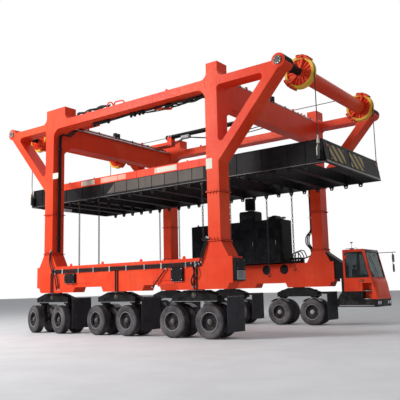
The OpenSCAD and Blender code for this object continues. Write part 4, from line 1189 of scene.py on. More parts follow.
    def weld_seams(self) -> None:
        """Weld beads: thin rounded ridges where the box sections' plates meet, on both side frames."""
        piece = Piece("weld_seams", "chassis", "vermilion_paint")
        for out in (NEAR_OUT, FAR_OUT):
            lines = []
            for end in BOTH:
                for x in (LEG_X - 0.25, LEG_X + 0.25):
                    lines.append([(end * x, out, 8.5), (end * x, out, TOP)])
                lines.append([(end * 3.7, out, SILL_TOP), (end * 4.8, out, SILL_TOP)])
                lines.append([(end * 4.5, out, 7.62), (end * 4.5, out, 8.53)])
                lines.append([(end * 1.6, out, 8.5), (end * 1.6, out, TOP)])
            for x in (-1.95, 1.75):
                lines.append([(x, out, 1.82), (x, out, SILL_TOP)])
            for line in lines:
                piece.add(tube(np.linspace(*np.array(line, float), 5), self.weld_r, 6, (0.3, 1.0, 0.2)),
                    Finish.VERMILION)
        piece.make(smooth=80.0)

    def pad_eyes(self) -> None:
        """Pad eyes and small brackets on the sills' and top beams' upper edges."""
        piece = Piece("pad_eyes", "chassis", "vermilion_paint")
        eye = upright([(-0.07, 0.0), (0.07, 0.0), (0.06, 0.06), (0.03, 0.1), (-0.03, 0.1), (-0.06, 0.06)],
            (0, 0.012, 0), 0.024, 0.003)
        ring = lathe([(0.022, -0.016), (0.034, -0.014), (0.034, 0.014), (0.022, 0.016)], Axis.Y, (0, 0, 0.06),
            20, True)
        spots = [(x, NEAR_OUT + 0.07, SILL_TOP) for x in (-2.9, -1.1, 0.9, 2.9)]
        spots += [(x, y, TOP) for x in (-2.0, 2.2) for y in (NEAR_OUT + 0.1, FAR_IN + 0.1)]
        piece.add(repeat(join([eye, ring]), np.array(spots)), Finish.VERMILION)
        for x in (-4.34, -3.4):
            piece.add(block((x, NEAR_OUT + 0.1, 4.93), (x + 0.02, NEAR_OUT + 0.5, 5.05), 0.003), Finish.GREY)
        piece.make()

    def build(self) -> None:
        """Builds everything on the side frames."""
        self.joint_bolts()
        self.gussets()
        self.nose_bolts()
        self.shafts()
        self.keepers()
        self.beam_pipes()
        self.top_hoses()
        self.plates()
        self.weld_seams()
        self.pad_eyes()


@dataclass
class HoistGear:
    """What stands on the cross beams: tube rings, end fittings, straps, hydraulic blocks and hoses."""

    y: float = 2.6
    z: float = 9.3063
    radius: float = 0.11
    half: float = 3.3

    def rings(self) -> None:
        """Collars, bolted head rings and gland nuts on the four tube ends."""
        piece = Piece("cylinder_rings", "chassis", "black_paint")
        for side in BOTH:
            y = MID + side * self.y
            for x in (-2.2, -1.1, 0.0, 1.1, 2.2):
                band = [(self.radius, -0.02), (self.radius + 0.006, -0.018), (self.radius + 0.006, 0.018),
                    (self.radius, 0.02), (self.radius - 0.004, 0.0)]
                piece.add(lathe(band, Axis.X, (x, y, self.z), 32, True), Finish.BLACK)
            for end in BOTH:
                head = [(0.02, 0.0), (0.085, 0.0), (0.085, 0.016), (0.07, 0.022), (0.045, 0.022),
                    (0.04, 0.06), (0.03, 0.075), (0.0175, 0.078), (0.0165, 0.0)]
                flip = np.diag([end, 1.0, 1.0])
                spot = (end * (self.half + 0.06), y, self.z)
                piece.add(lathe(head, Axis.X, turns=32, ring=True).placed(flip, spot), Finish.CAST)
                spots = round_places(spot, 0.105, 10, SIDEWAYS)
                piece.add(bolts(spots, (end, 0, 0), 0.024, False), Finish.BOLT)
                flange = [(self.radius + 0.001, -0.006), (self.radius + 0.0155, -0.004),
                    (self.radius + 0.0155, -0.03), (self.radius + 0.001, -0.034)]
                piece.add(lathe(flange, Axis.X, turns=32, ring=True).placed(flip,
                    (end * self.half, y, self.z)), Finish.BLACK)
        piece.make()

    def straps(self) -> None:
        """Straps over the tubes at the saddles: a half hoop with a bolted foot on either side."""
        piece = Piece("cylinder_straps", "chassis", "vermilion_paint")
        bend = np.linspace(0.0, math.pi, 15)
        for side in BOTH:
            y = MID + side * self.y
            for end in BOTH:
                for x in (3.02, 3.18):
                    centre = end * x
                    inner, outer = (np.column_stack([np.full(15, centre - 0.035), y + radius * np.cos(bend),
                        self.z + radius * np.sin(bend)]) for radius in (0.1115, 0.1225))
                    far_outer, far_inner = outer + (0.07, 0, 0), inner + (0.07, 0, 0)
                    rows = np.stack([inner, outer, far_outer, far_inner], 1)
                    piece.add(swept(rows), Finish.GREY)
                    feet = [((centre - 0.035, y + way * 0.112, self.z),
                        (centre + 0.035, y + way * 0.148, self.z + 0.012)) for way in BOTH]
                    piece.add(blocks(feet, 0.002), Finish.GREY)
                    spots = [(centre, y + way * 0.135, self.z + 0.012) for way in BOTH]
                    piece.add(bolts(spots, (0, 0, 1), 0.022), Finish.BOLT)
                ribs = [((end * 3.26, y - 0.15, 8.94), (end * 4.38, y - 0.13, 9.05)),
                    ((end * 3.26, y + 0.13, 8.94), (end * 4.38, y + 0.15, 9.05))]
                piece.add(blocks(ribs, 0.004), Finish.VERMILION)
                ends = np.array([(end * a, y + b, 8.94) for a in (3.4, 3.8, 4.3) for b in (-0.09, 0.09)])
                piece.add(bolts(ends, (0, 0, 1), 0.036), Finish.BOLT)
        piece.make()

    def fittings(self) -> None:
        """A pipe beside each tube with clips, a valve block under it and hoses that sag to the beams."""
        piece = Piece("cylinder_pipes", "chassis", "bare_steel")
        t = np.linspace(0.0, 1.0, 24)
        for side in BOTH:
            y, z = MID + side * self.y - 0.15, self.z - 0.02
            path = rounded_path([(-3.1, y + 0.06, z), (-3.1, y, z), (3.05, y, z), (3.05, y + 0.06, z)], 0.04,
                7)
            piece.add(tube(path, 0.016, 10), Finish.HOSE)
            clips = [((x - 0.03, y - 0.03, z - 0.035), (x + 0.03, y + 0.06, z + 0.035))
                for x in (-2.4, -1.2, 0, 1.2, 2.4)]
            piece.add(blocks(clips, 0.006), Finish.BLACK)
            piece.add(block((-2.3, y - 0.08, z - 0.24), (-1.8, y + 0.14, z - 0.08), 0.012), Finish.GREY)
            piece.add(bolts([(x, y - 0.08, z - 0.16) for x in (-2.22, -2.05, -1.88)], (0, -1, 0), 0.05),
                Finish.STEEL)
            for x0, x1, sag in ((-2.2, -3.98, 0.1), (-2.1, -3.9, 0.17), (-1.9, 2.4, 0.26),
                    (-1.85, 3.98, 0.34)):
                path = np.column_stack([x0 + (x1 - x0) * t, y + 0.03 * np.sin(5 * t),
                    z - 0.2 - 0.22 * t - sag * np.sin(math.pi * t) * (1 - 0.35 * t)])
                piece.add(tube(path, 0.022, 10, SIDEWAYS), Finish.HOSE)
        piece.make(smooth=45.0)

    def build(self) -> None:
        """Builds the hoist gear on the beams."""
        self.rings()
        self.straps()
        self.fittings()


@dataclass
class HoseRuns:
    """Clamps on the near side's hoses, and the short hoses down to the bogies."""

    y: float = NEAR_OUT
    radius: float = 0.022
    leg_foot: float = 3.28
    leg_run: float = 4.84

    def clamps(self) -> None:
        """Clamps along the sill: a rail, a cover plate and two bolts each, over all three hoses."""
        piece = Piece("hose_clamps", "chassis", "bare_steel")
        for number, x in enumerate((-3.75, -3.3, -2.35, -1.5, -0.62, 0.25, 1.15, 1.95, 3.05, 3.45)):
            look = Finish.CREAM if number % 3 == 1 else Finish.GREY
            piece.add(block((x - 0.025, self.y - 0.052, 2.372), (x + 0.025, self.y, 2.568), 0.004), look)
            piece.add(bolts([(x, self.y - 0.052, 2.4425), (x, self.y - 0.052, 2.4975)], (0, -1, 0), 0.02),
                Finish.BOLT)
        for end in BOTH:
            for share in (0.12, 0.55, 0.9):
                z = self.leg_foot + share * self.leg_run
                x = end * (LEG_X - LEG_HALF - 0.0745)
                low = (x - end * 0.012, MID - LEG_Y - 0.088, z + 0.008)
                high = (x + end * 0.004, MID - LEG_Y + 0.088, z + 0.052)
                piece.add(block(low, high, 0.002), Finish.CREAM)
                spots = [(x - end * 0.012, MID - LEG_Y + way * 0.0275, z + 0.03) for way in BOTH]
                piece.add(bolts(spots, (-end, 0, 0), 0.02), Finish.BOLT)
        piece.make()

    def drops(self) -> None:
        """Bent hoses from the sill's run to the bogies and from the leg's foot to the run."""
        piece = Piece("hose_drops", "chassis", "hose_rubber")
        y = self.y - self.radius
        runs = [
            [(-4.06, y - 0.02, 3.30), (-4.10, y - 0.045, 2.95), (-3.98, y - 0.05, 2.60), (-3.72, y - 0.05, 2.25),
             (-3.66, y - 0.04, 1.95), (-3.70, y + 0.02, 1.74)],
            [(-4.00, y - 0.02, 3.34), (-4.03, y - 0.045, 2.98), (-3.90, y - 0.05, 2.68), (-3.60, y - 0.05, 2.32),
             (-3.53, y - 0.04, 2.0), (-3.55, y + 0.02, 1.74)],
            [(2.16, y - 0.03, 2.36), (1.98, y - 0.045, 2.17), (1.72, y - 0.045, 1.90), (1.52, y - 0.01, 1.74)],
            [(3.50, y - 0.03, 2.45), (3.62, y - 0.05, 2.15), (3.40, y - 0.05, 1.92), (3.38, y + 0.02, 1.72)],
            [(3.30, y - 0.03, 2.50), (3.46, y - 0.05, 2.20), (3.28, y - 0.05, 1.95), (3.30, y + 0.02, 1.72)],
            [(3.72, y - 0.02, 2.52), (3.80, y - 0.04, 2.72), (3.92, y - 0.03, 3.05), (4.02, y - 0.01, 3.32)],
            [(3.62, y - 0.02, 2.47), (3.71, y - 0.04, 2.70), (3.84, y - 0.03, 3.02), (3.96, y - 0.01, 3.34)]]
        for corners in runs:
            piece.add(tube(rounded_path(corners, 0.16, 7), self.radius, 10, (0.15, 1.0, 0.0)), Finish.HOSE)
            for end in (corners[0], corners[-1]):
                piece.add(lathe([(0.001, -0.03), (0.03, -0.03), (0.03, 0.03), (0.001, 0.03)], centre=end,
                    turns=6), Finish.STEEL)
        piece.make(smooth=60.0)

    def loops(self) -> None:
        """The bundle on the far front leg with its loop, the valve beside it and the near legs' top bends."""
        piece = Piece("leg_hoses", "chassis", "hose_rubber")
        y = MID + 3.6
        for k in range(3):
            a, b = 0.05 * k, 0.055 * k
            path = [(3.93, y + b, 7.55), (3.93, y + b, 5.1), (3.93, y + b, 4.05), (3.68 + a, y + b, 3.82),
                (3.66 + a, y + b, 3.5), (3.9, y + b, 3.24 + a), (3.93, y + b, 2.98), (3.55 - a, y + b, 2.86)]
            piece.add(tube(rounded_path(path, 0.12, 6), 0.026, 10, SIDEWAYS), Finish.HOSE)
        for z in (3.9, 4.6, 5.6, 6.6, 7.4):
            piece.add(block((3.88, y - 0.05, z), (3.998, y + 0.17, z + 0.05), 0.004), Finish.CREAM)
        piece.add(block((2.86, y - 0.02, SILL_TOP), (3.42, y + 0.3, 2.92), 0.015), Finish.BLACK)
        piece.add(bolts([(x, y - 0.02, 2.8) for x in (2.95, 3.08, 3.21, 3.34)], (0, -1, 0), 0.05),
            Finish.STEEL)
        for k, x in enumerate((2.94, 3.08, 3.22)):
            path = [(x, y + 0.1, 2.92), (x, y + 0.1, 3.15 + 0.04 * k), (x + 0.3, y + 0.1, 3.15 + 0.04 * k),
                (x + 0.42, y + 0.1, 2.9)]
            piece.add(tube(rounded_path(path, 0.12, 6), 0.022, 10, SIDEWAYS), Finish.HOSE)
        for end in BOTH:
            x = end * (LEG_X - LEG_HALF - 0.0755)
            for k in range(3):
                row = MID - LEG_Y + 0.055 * (k - 1)
                path = [(x, row, 8.11), (x - end * 0.03 * k, row, 8.26 + 0.04 * k),
                    (x, MID - 3.36 + 0.05 * k, 8.44 - 0.05 * k), (x + end * 0.055, MID - 3.1 + 0.1 * k, 8.66),
                    (x + end * 0.06, MID - 2.9 + 0.15 * k, 8.87), (x + end * 0.16, MID - 2.6 + 0.2 * k, 8.86)]
                piece.add(tube(rounded_path(path, 0.1, 6), 0.022, 10, (1.0, 0.0, 0.0)), Finish.HOSE)
        piece.make(smooth=60.0)

    def build(self) -> None:
        """Builds clamps and hoses."""
        self.clamps()
        self.drops()
        self.loops()


@dataclass
class SillBoxes:
    """Covers, latches and cable glands on the boxes along the near sill."""

    y: float = NEAR_OUT

    def build(self) -> None:
        """Builds the lids on the valve boxes and the ribs on the end box."""
        piece = Piece("box_lids", "chassis", "black_paint")
        for low, high, deep in (((-3.12, 1.99), (-2.52, 2.36), 0.09), ((2.41, 1.92), (2.93, 2.38), 0.07)):
            face = self.y - deep
            lid = block((low[0] + 0.02, face - 0.012, low[1] + 0.02), (high[0] - 0.02, face, high[1] - 0.02),
                0.004)
            piece.add(lid, Finish.BLACK)
            spots = [(x, face - 0.012, z) for x in (low[0] + 0.05, high[0] - 0.05)
                for z in (low[1] + 0.05, high[1] - 0.05)]
            piece.add(bolts(spots, (0, -1, 0), 0.024), Finish.STEEL)
            for x in np.linspace(low[0] + 0.1, high[0] - 0.1, 4):
                piece.add(lathe([(0.001, -0.03), (0.018, -0.03), (0.018, 0.0), (0.001, 0.0)],
                    centre=(x, self.y - 0.045, low[1]), turns=6), Finish.STEEL)
        x = 5.06
        piece.add(block((x, MID - 4.08, 2.24), (x + 0.014, MID - 3.6, 2.56), 0.004), Finish.BLACK)
        piece.add(block((x, MID - 4.08, 1.91), (x + 0.014, MID - 3.6, 2.2), 0.004), Finish.GREY)
        slots = [((x + 0.012, MID - 4.02, z), (x + 0.02, MID - 3.66, z + 0.012))
            for z in np.arange(1.95, 2.17, 0.035)]
        piece.add(blocks(slots, 0.002), Finish.BLACK)
        spots = [(x + 0.014, y, z) for y in (MID - 4.05, MID - 3.63) for z in (2.27, 2.53)]
        piece.add(bolts(spots, (1, 0, 0), 0.024), Finish.STEEL)
        piece.make()


@dataclass
class Bogies:
    """Pins, caps, bearing plates and grey strips painted along the walking beams' edges as highlights, and grey
    skins over the guards' tops.
    """

    centres: tuple[float, ...] = (-4.235, -0.535, 3.165)
    track: float = 3.7
    width: float = 0.43
    axle: float = 0.775
    boss_z: float = 1.44

    def beam(self, side: int) -> list[tuple[Shape, Finish]]:
        """What is bolted onto one walking beam whose centre is the origin, on a side frame's side."""
        out = side * self.width / 2
        flip = np.diag([1.0, side, 1.0])
        boss = lathe([(0.001, 0.034), (0.05, 0.034), (0.058, 0.03), (0.062, 0.016), (0.095, 0.014),
            (0.1, 0.008), (0.1, 0.0)], Axis.Y, (0, self.width / 2, self.boss_z), 40)
        boss_bolts = bolts(round_places((0, self.width / 2 + 0.0135, self.boss_z), 0.08, 8), (0, 1, 0), 0.02,
            False)
        caps, cap_bolts, doublers = [], [], []
        for way in BOTH:
            x = way * self.axle
            caps.append(lathe([(0.001, 1.515), (0.05, 1.515), (0.06, 1.508), (0.1, 1.506), (0.105, 1.5),
                (0.105, 1.43), (0.001, 1.43)], centre=(x, 0, 0), turns=36))
            cap_bolts.append(bolts(round_places((x, 0, 1.506), 0.085, 8, up=SIDEWAYS), (0, 0, 1), 0.018,
                False))
            doublers.append(upright([(-0.17, 1.24), (0.17, 1.24), (0.17, 1.37), (0.1, 1.4), (-0.1, 1.4),
                (-0.17, 1.37)], (x, out, 0), -side * 0.01, 0.002))
        # Grey strips along the beam's edges, the long one and the crown: painted highlights where the edges
        # catch the light.
        strip = upright([(-0.975, 1.222), (0.975, 1.222), (0.975, 1.234), (-0.975, 1.234)], (0, out, 0),
            -side * 0.008, 0.001)
        crown = upright([(-0.42, 1.588), (0.42, 1.588), (0.42, 1.6), (-0.42, 1.6)], (0, out, 0), -side * 0.01,
            0.001)
        block_bolts = bolts([(x, side * 0.19, 1.6) for x in (-0.3, -0.24, 0.24, 0.3)], (0, 0, 1), 0.034)
        flap_bar = block((1.545, -0.46, 1.345), (1.556, 0.46, 1.395), 0.003)
        flap_bolts = bolts([(1.5712, y, 1.37) for y in np.linspace(-0.42, 0.42, 7)], (1, 0, 0), 0.022)
        return [(boss.placed(flip), Finish.CAST), (boss_bolts.placed(flip), Finish.BOLT),
            (join(caps), Finish.BLACK), (join(cap_bolts), Finish.BOLT), (join(doublers), Finish.BLACK),
            (strip, Finish.GREY), (crown, Finish.GREY), (block_bolts, Finish.BOLT), (flap_bar, Finish.GREY),
            (flap_bolts, Finish.STEEL)]

    def brackets(self) -> None:
        """Hoses and a valve on each beam, between the sill and the struts."""
        piece = Piece("bogie_hoses", "chassis", "hose_rubber")
        for side in BOTH:
            for x in self.centres:
                y = MID + side * (self.track + 0.26)
                for way in BOTH:
                    path = rounded_path([(x + way * 0.14, y, 1.62), (x + way * 0.2, y + side * 0.05, 1.5),
                        (x + way * 0.42, y + side * 0.05, 1.44), (x + way * 0.6, y, 1.36),
                        (x + way * 0.66, y - side * 0.05, 1.3)], 0.09, 6)
                    piece.add(tube(path, 0.014, 8, (0.0, 1.0, 0.2)), Finish.HOSE)
                piece.add(block((x - 0.11, y - 0.045, 1.6), (x + 0.11, y + 0.045, 1.72), 0.006), Finish.GREY)
                nuts = [(x + a, y + side * 0.045, 1.66) for a in (-0.07, 0.0, 0.07)]
                piece.add(bolts(nuts, (0, side, 0), 0.03, False), Finish.STEEL)
        piece.make(smooth=55.0)

    def guards(self) -> None:
        """A grey skin, 2 mm over the top of each inner tyre's guard, which steers with its strut."""
        pairs = WheelPairs()
        reach = math.radians(41.0)
        angle = np.linspace(-reach, reach, 22)
        for side, name in ((-1, "near"), (1, "far")):
            for number, x in enumerate(pairs.places, 1):
                y = side * self.track
                turn = math.atan2(x - pairs.turn[0], pairs.turn[1] - y)
                near, away = -side * (pairs.gap / 2 + 0.004), -side * (pairs.gap / 2 + pairs.width - 0.004)
                rows = [np.column_stack([radius * np.sin(angle), np.full(22, across), radius * np.cos(angle)])
                    for radius, across in ((0.5985, near), (0.5985, away), (0.6005, away), (0.6005, near))]
                skin = swept(np.stack(rows, 1))
                piece = Piece(f"{name}_guard_{number}", f"{name}_steer_{number}", "bare_steel")
                matrix = turned(turn, Axis.Z)
                piece.add(skin.placed(matrix, (x, y + MID, pairs.radius)), Finish.GREY)
                nuts = bolts(round_places((0, 0, 1.1697), 0.165, 10, up=SIDEWAYS), (0, 0, -1), 0.026, False)
                piece.add(nuts.placed(matrix, (x, y + MID, 0.0)), Finish.BOLT)
                piece.make()

    def build(self) -> None:
        """Builds the six bogies' fittings."""
        piece = Piece("bogie_fittings", "chassis", "black_paint")
        for side in BOTH:
            parts = self.beam(side)
            for x in self.centres:
                for shape, look in parts:
                    piece.add(shape.placed(shift=(x, MID + side * self.track, 0)), look)
        piece.make()
        self.brackets()
        self.guards()


@dataclass
class PowerPack:
    """The engine housing's doors, louvres, handles, lifting eyes, intake grilles and ribbed rain cap."""

    low: float = 2.72
    top: float = 4.65
    start: float = -2.25
    end: float = 2.75
    near: float = MID + 3.0
    far: float = MID + 4.1
    intake_x: float = 0.89

    def door(self, x: float, wide: float, face: float, way: float) -> list[tuple[Shape, Finish]]:
        """One side door: a raised panel with a rim, louvres, two hinges and a handle.

        Args:
            x: its left edge.
            wide: its width.
            face: where the housing's side lies.
            way: -1 for the side towards the near frame, 1 for the other.
        Returns:
            Shapes and finishes.
        """
        low, high = self.low + 0.1, self.top - 0.16
        out = face + way * 0.012
        rim = [((x, face, low), (x + wide, out, high))]
        panel = [((x + 0.05, out, low + 0.05), (x + wide - 0.05, out + way * 0.005, high - 0.05))]
        rows = np.arange(6)
        slat = prism([(0.0, 0.0), (0.034, 0.0), (0.006, 0.045), (0.0, 0.045)], (0, 0, 0), (0, way, 0),
            (0, 0, 1), wide - 0.3, 0.002)
        span = slat.points[:, 0]
        slat = slat.placed(shift=(x + wide / 2 - (span.min() + span.max()) / 2, out, 0))
        louvres = repeat(slat, piled(high - 0.22 - 0.085 * rows))
        hinges = join([tube([(x + 0.015, out + way * 0.008, z), (x + 0.015, out + way * 0.008, z + 0.11)],
            0.012, 10, (1.0, 0.0, 0.0)) for z in (low + 0.2, high - 0.35)])
        handle = tube(rounded_path([(x + wide - 0.09, out, low + 0.7),
            (x + wide - 0.09, out + way * 0.045, low + 0.7), (x + wide - 0.09, out + way * 0.045, low + 0.88),
            (x + wide - 0.09, out, low + 0.88)], 0.02, 4), 0.009, 8, (1.0, 0.0, 0.0))
        return [(blocks(rim, 0.004), Finish.PACK), (blocks(panel, 0.002), Finish.PACK),
            (louvres, Finish.PACK), (hinges, Finish.BOLT), (handle, Finish.STEEL)]

    def sides(self) -> None:
        """Four doors along each side and one panel on each end."""
        piece = Piece("pack_doors", "chassis", "black_paint")
        edges = np.linspace(self.start + 0.12, self.end - 0.12, 5)
        for face, way in ((self.near, -1.0), (self.far, 1.0)):
            for x in edges[:-1]:
                for shape, look in self.door(float(x) + 0.02, float(edges[1] - edges[0]) - 0.04, face, way):
                    piece.add(shape, look)
        for x, way in ((self.start, -1.0), (self.end, 1.0)):
            rim = ((x, self.near + 0.14, self.low + 0.12),
                (x + way * 0.012, self.far - 0.14, self.top - 0.16))
            piece.add(blocks([rim], 0.004), Finish.PACK)
            rows = np.arange(12)
            bar = block((x + way * 0.01, self.near + 0.22, 0.0), (x + way * 0.026, self.far - 0.22, 0.022),
                0.004)
            piece.add(repeat(bar, piled(self.low + 0.35 + 0.06 * rows)), Finish.PACK)
            spots = [(x + way * 0.012, y, z) for y in (self.near + 0.17, self.far - 0.17)
                for z in (self.low + 0.16, self.low + 0.95, self.top - 0.2)]
            piece.add(bolts(spots, (way, 0, 0), 0.026), Finish.BOLT)
        piece.make()

    def roof(self) -> None:
        """Lifting eyes, a roof frame, hood slats, intake grilles and the ribbed rain cap."""
        piece = Piece("pack_roof", "chassis", "black_paint")
        middle = (self.near + self.far) / 2
        for x in (self.start + 0.35, self.end - 0.35):
            for y in (self.near + 0.15, self.far - 0.15):
                eye = upright([(-0.06, 0.0), (0.06, 0.0), (0.045, 0.08), (0.0, 0.1), (-0.045, 0.08)],
                    (x, y + 0.01, self.top), 0.02, 0.003)
                piece.add(eye, Finish.PACK)
        rails = [((self.start + 0.2, y, self.top), (self.end - 0.2, y + 0.05, self.top + 0.018))
            for y in (self.near + 0.05, self.far - 0.1)]
        piece.add(blocks(rails, 0.004), Finish.PACK)
        rows = np.arange(7)
        slat = block((1.95, middle - 0.256, 0.0), (2.33, middle + 0.256, 0.01), 0.002)
        piece.add(repeat(slat, piled(4.668 + 0.024 * rows)), Finish.PACK)
        for y, way in ((middle - 0.3, -1.0), (middle + 0.3, 1.0)):
            frame_bars = [((x0, y, z0), (x1, y + way * 0.012, z1))
                for x0, z0, x1, z1 in ((0.5, 4.72, 1.28, 4.75), (0.5, 5.06, 1.28, 5.09),
                (0.5, 4.75, 0.53, 5.06), (1.25, 4.75, 1.28, 5.06))]
            piece.add(blocks(frame_bars, 0.002), Finish.PACK)
            bars = [((0.53, y, z), (1.25, y + way * 0.008, z + 0.012)) for z in np.arange(4.775, 5.05, 0.034)]
            piece.add(blocks(bars, 0.002), Finish.BOLT)
        rib = [(0.236, -0.014), (0.246, -0.01), (0.246, 0.01), (0.236, 0.014)]
        for z in (5.275, 5.36, 5.445, 5.53, 5.615, 5.7):
            piece.add(lathe(rib, Axis.Z, (self.intake_x, middle, z), 40, True), Finish.PACK)
        dome = [(0.2405, 5.762), (0.2405, 5.782), (0.2, 5.797), (0.1, 5.806), (0.002, 5.808), (0.002, 5.77)]
        piece.add(lathe(dome, Axis.Z, (self.intake_x, middle, 0), 40, True), Finish.PACK)
        band = [(0.121, -0.02), (0.13, -0.018), (0.13, 0.018), (0.121, 0.02)]
        piece.add(lathe(band, Axis.Z, (self.intake_x, middle, 5.215), 32, True), Finish.STEEL)
        pipe = rounded_path([(2.55, middle, 4.62), (2.55, middle, 4.76), (2.62, middle + 0.18, 4.76)], 0.06,
            5)
        piece.add(tube(pipe, 0.045, 16, (0.3, 0.2, 0.0)), Finish.CAST)
        piece.make()

    def build(self) -> None:
        """Builds the housing's sides and roof."""
        self.sides()
        self.roof()


@dataclass
class LiftingFrame:
    """Flanges, stiffeners, blank plates, end face borders and lamps on the lifting frame."""

    out: float = 2.44
    low: float = 5.65
    top: float = 6.45
    half: float = 7.5
    rake: float = 0.13
    rail: tuple[float, float, float, float] = (-5.3, 3.7, 6.22, 6.52)
    members: tuple[float, ...] = (0.0, 1.375, 2.75, 4.1, 5.15, 6.2)

    def girders(self) -> None:
        """Flange strips along each girder's foot and head, and an upright rib at every cross member."""
        piece = Piece("girder_flanges", "spreader", "black_paint")
        for side in BOTH:
            face, edge = MID + side * self.out, MID + side * (self.out + 0.022)
            # The foot strip is pale grey, lighter than the black girder.
            strip = [(-self.half - self.rake + 0.02, 0.0), (self.half + self.rake - 0.02, 0.0),
                (self.half + self.rake - 0.03, 0.024), (-self.half - self.rake + 0.03, 0.024)]
            piece.add(upright(strip, (0, face, self.low), -side * 0.022, 0.002), Finish.EDGE)
            for end in BOTH:
                reach = sorted((self.rail[end > 0], end * (self.half - 0.02)))
                piece.add(block((reach[0], face, self.top - 0.022), (reach[1], edge, self.top), 0.002),
                    Finish.BLACK)
            places = sorted({s * m for m in self.members for s in BOTH} | {-6.85, 6.85, -0.69, 0.69, 2.06,
                -2.06})
            ribs = [((x - 0.006, face, self.low + 0.024), (x + 0.006, edge - side * 0.004,
                self.rail[2] if self.rail[0] < x < self.rail[1] else self.top - 0.022)) for x in places]
            piece.add(blocks(ribs, 0.001), Finish.BLACK)
        piece.make()

    def rails(self) -> None:
        """Blank plates, end stops and bolts on the painted rails, and a grey-brown panel with a slanted end on
        the web under the near one.
        """
        piece = Piece("rail_plates", "spreader", "yellow_paint")
        for side in BOTH:
            face = MID + side * 2.46
            for x, wide, look in ((-4.12, 0.84, Finish.CREAM), (-2.9, 1.5, Finish.PALE_RED),
                    (0.2, 1.15, Finish.CREAM)):
                plate = ((x, face, 6.265), (x + wide, face + side * 0.005, 6.475))
                piece.add(blocks([plate], 0.0015), look)
                corners = [(x + a, face + side * 0.005, z) for a in (0.025, wide - 0.025)
                    for z in (6.285, 6.455)]
                piece.add(bolts(corners, (0, side, 0), 0.016, False), Finish.STEEL)
            for x in np.linspace(self.rail[0] + 0.2, self.rail[1] - 0.2, 9):
                piece.add(block((x - 0.008, face, 6.22), (x + 0.008, face + side * 0.012, 6.52), 0.002),
                    Finish.VERMILION)
            for x in self.rail[:2]:
                stop = block((x - 0.012, MID + side * 2.268, 6.23), (x + 0.012, MID + side * 2.462, 6.51),
                    0.003)
                piece.add(stop, Finish.VERMILION)
            eyes = [(x, MID + side * 2.365, 6.52) for x in (-5.0, -3.4, 1.8, 3.4)]
            eye = upright([(-0.05, 0.0), (0.05, 0.0), (0.035, 0.06), (-0.035, 0.06)], (0, 0.009, 0), 0.018,
                0.002)
            piece.add(repeat(eye, np.array(eyes)), Finish.VERMILION)
        face = MID - self.out
        # A grey-brown panel with a slanted left end, lighter than the black girder round it.
        web = upright([(-2.55, 0.0), (2.6, 0.0), (2.6, 0.44), (-2.05, 0.44)], (0, face, 5.76), 0.004, 0.001)
        piece.add(web, Finish.DUSTY_WEB)
        piece.make()

    def ends(self) -> None:
        """Borders round the striped plates, a bright foot strip and lamps, on the raked end faces."""
        piece = Piece("end_borders", "spreader", "yellow_paint")
        slope = math.atan2(self.rake, self.top - self.low)
        for end in BOTH:
            up = np.array([-end * math.sin(slope), 0.0, math.cos(slope)])
            origin = np.array([end * (self.half + self.rake), MID, self.low])
            out = np.array([end * math.cos(slope), 0.0, math.sin(slope)])
            depth = end * 0.01

            def bar(y0: float, y1: float, h0: float, h1: float, look: Finish, thick: float = depth) -> None:
                """One flat bar on the end face, between two sideways places and two heights along it."""
                corners = [(y0, h0), (y1, h0), (y1, h1), (y0, h1)]
                piece.add(prism(corners, origin, (0, 1, 0), up, thick, 0.001), look)

            for side in BOTH:
                middle = side * 0.85 - 0.6
                for y in (middle - 0.64, middle + 0.61):
                    bar(y, y + 0.03, 0.1, 0.74, Finish.BLACK)
                for h in (0.09, 0.71):
                    bar(middle - 0.64, middle + 0.64, h, h + 0.03, Finish.BLACK)
                spots = [origin + np.array([0, middle + y, 0]) + up * h + out * 0.012 for y in (-0.57, 0.57)
                    for h in (0.17, 0.66)]
                piece.add(bolts(np.array(spots), out, 0.022), Finish.STEEL)
                lamp = lathe([(0.001, 0.026), (0.045, 0.024), (0.058, 0.018), (0.062, 0.0)], turns=24)
                spot = origin + np.array([0, side * 2.2, 0]) + up * 0.62
                piece.add(lamp.placed(facing(out), spot), Finish.RED_LENS)
            bar(-2.42, 2.42, 0.012, 0.088, Finish.HOOD, end * 0.0015)
        piece.make()

    def pipes(self) -> None:
        """Pipes along the inside of the near girder, held at the cross members."""
        piece = Piece("frame_pipes", "spreader", "bare_steel")
        for drop, radius in ((0.0, 0.022), (0.07, 0.018), (0.13, 0.014)):
            path = np.linspace((-6.9, MID - 2.2, 6.13 - drop), (6.9, MID - 2.2, 6.13 - drop), 9)
            piece.add(tube(path, radius, 8), Finish.STEEL)
        clips = [((s * m - 0.05, MID - 2.29, 5.98), (s * m + 0.05, MID - 2.17, 6.17))
            for m in self.members[1:] for s in BOTH]
        piece.add(blocks(clips, 0.006), Finish.BLACK)
        piece.make(smooth=60.0)

    def build(self) -> None:
        """Builds the lifting frame's dressing."""
        self.girders()
        self.rails()
        self.ends()
        self.pipes()


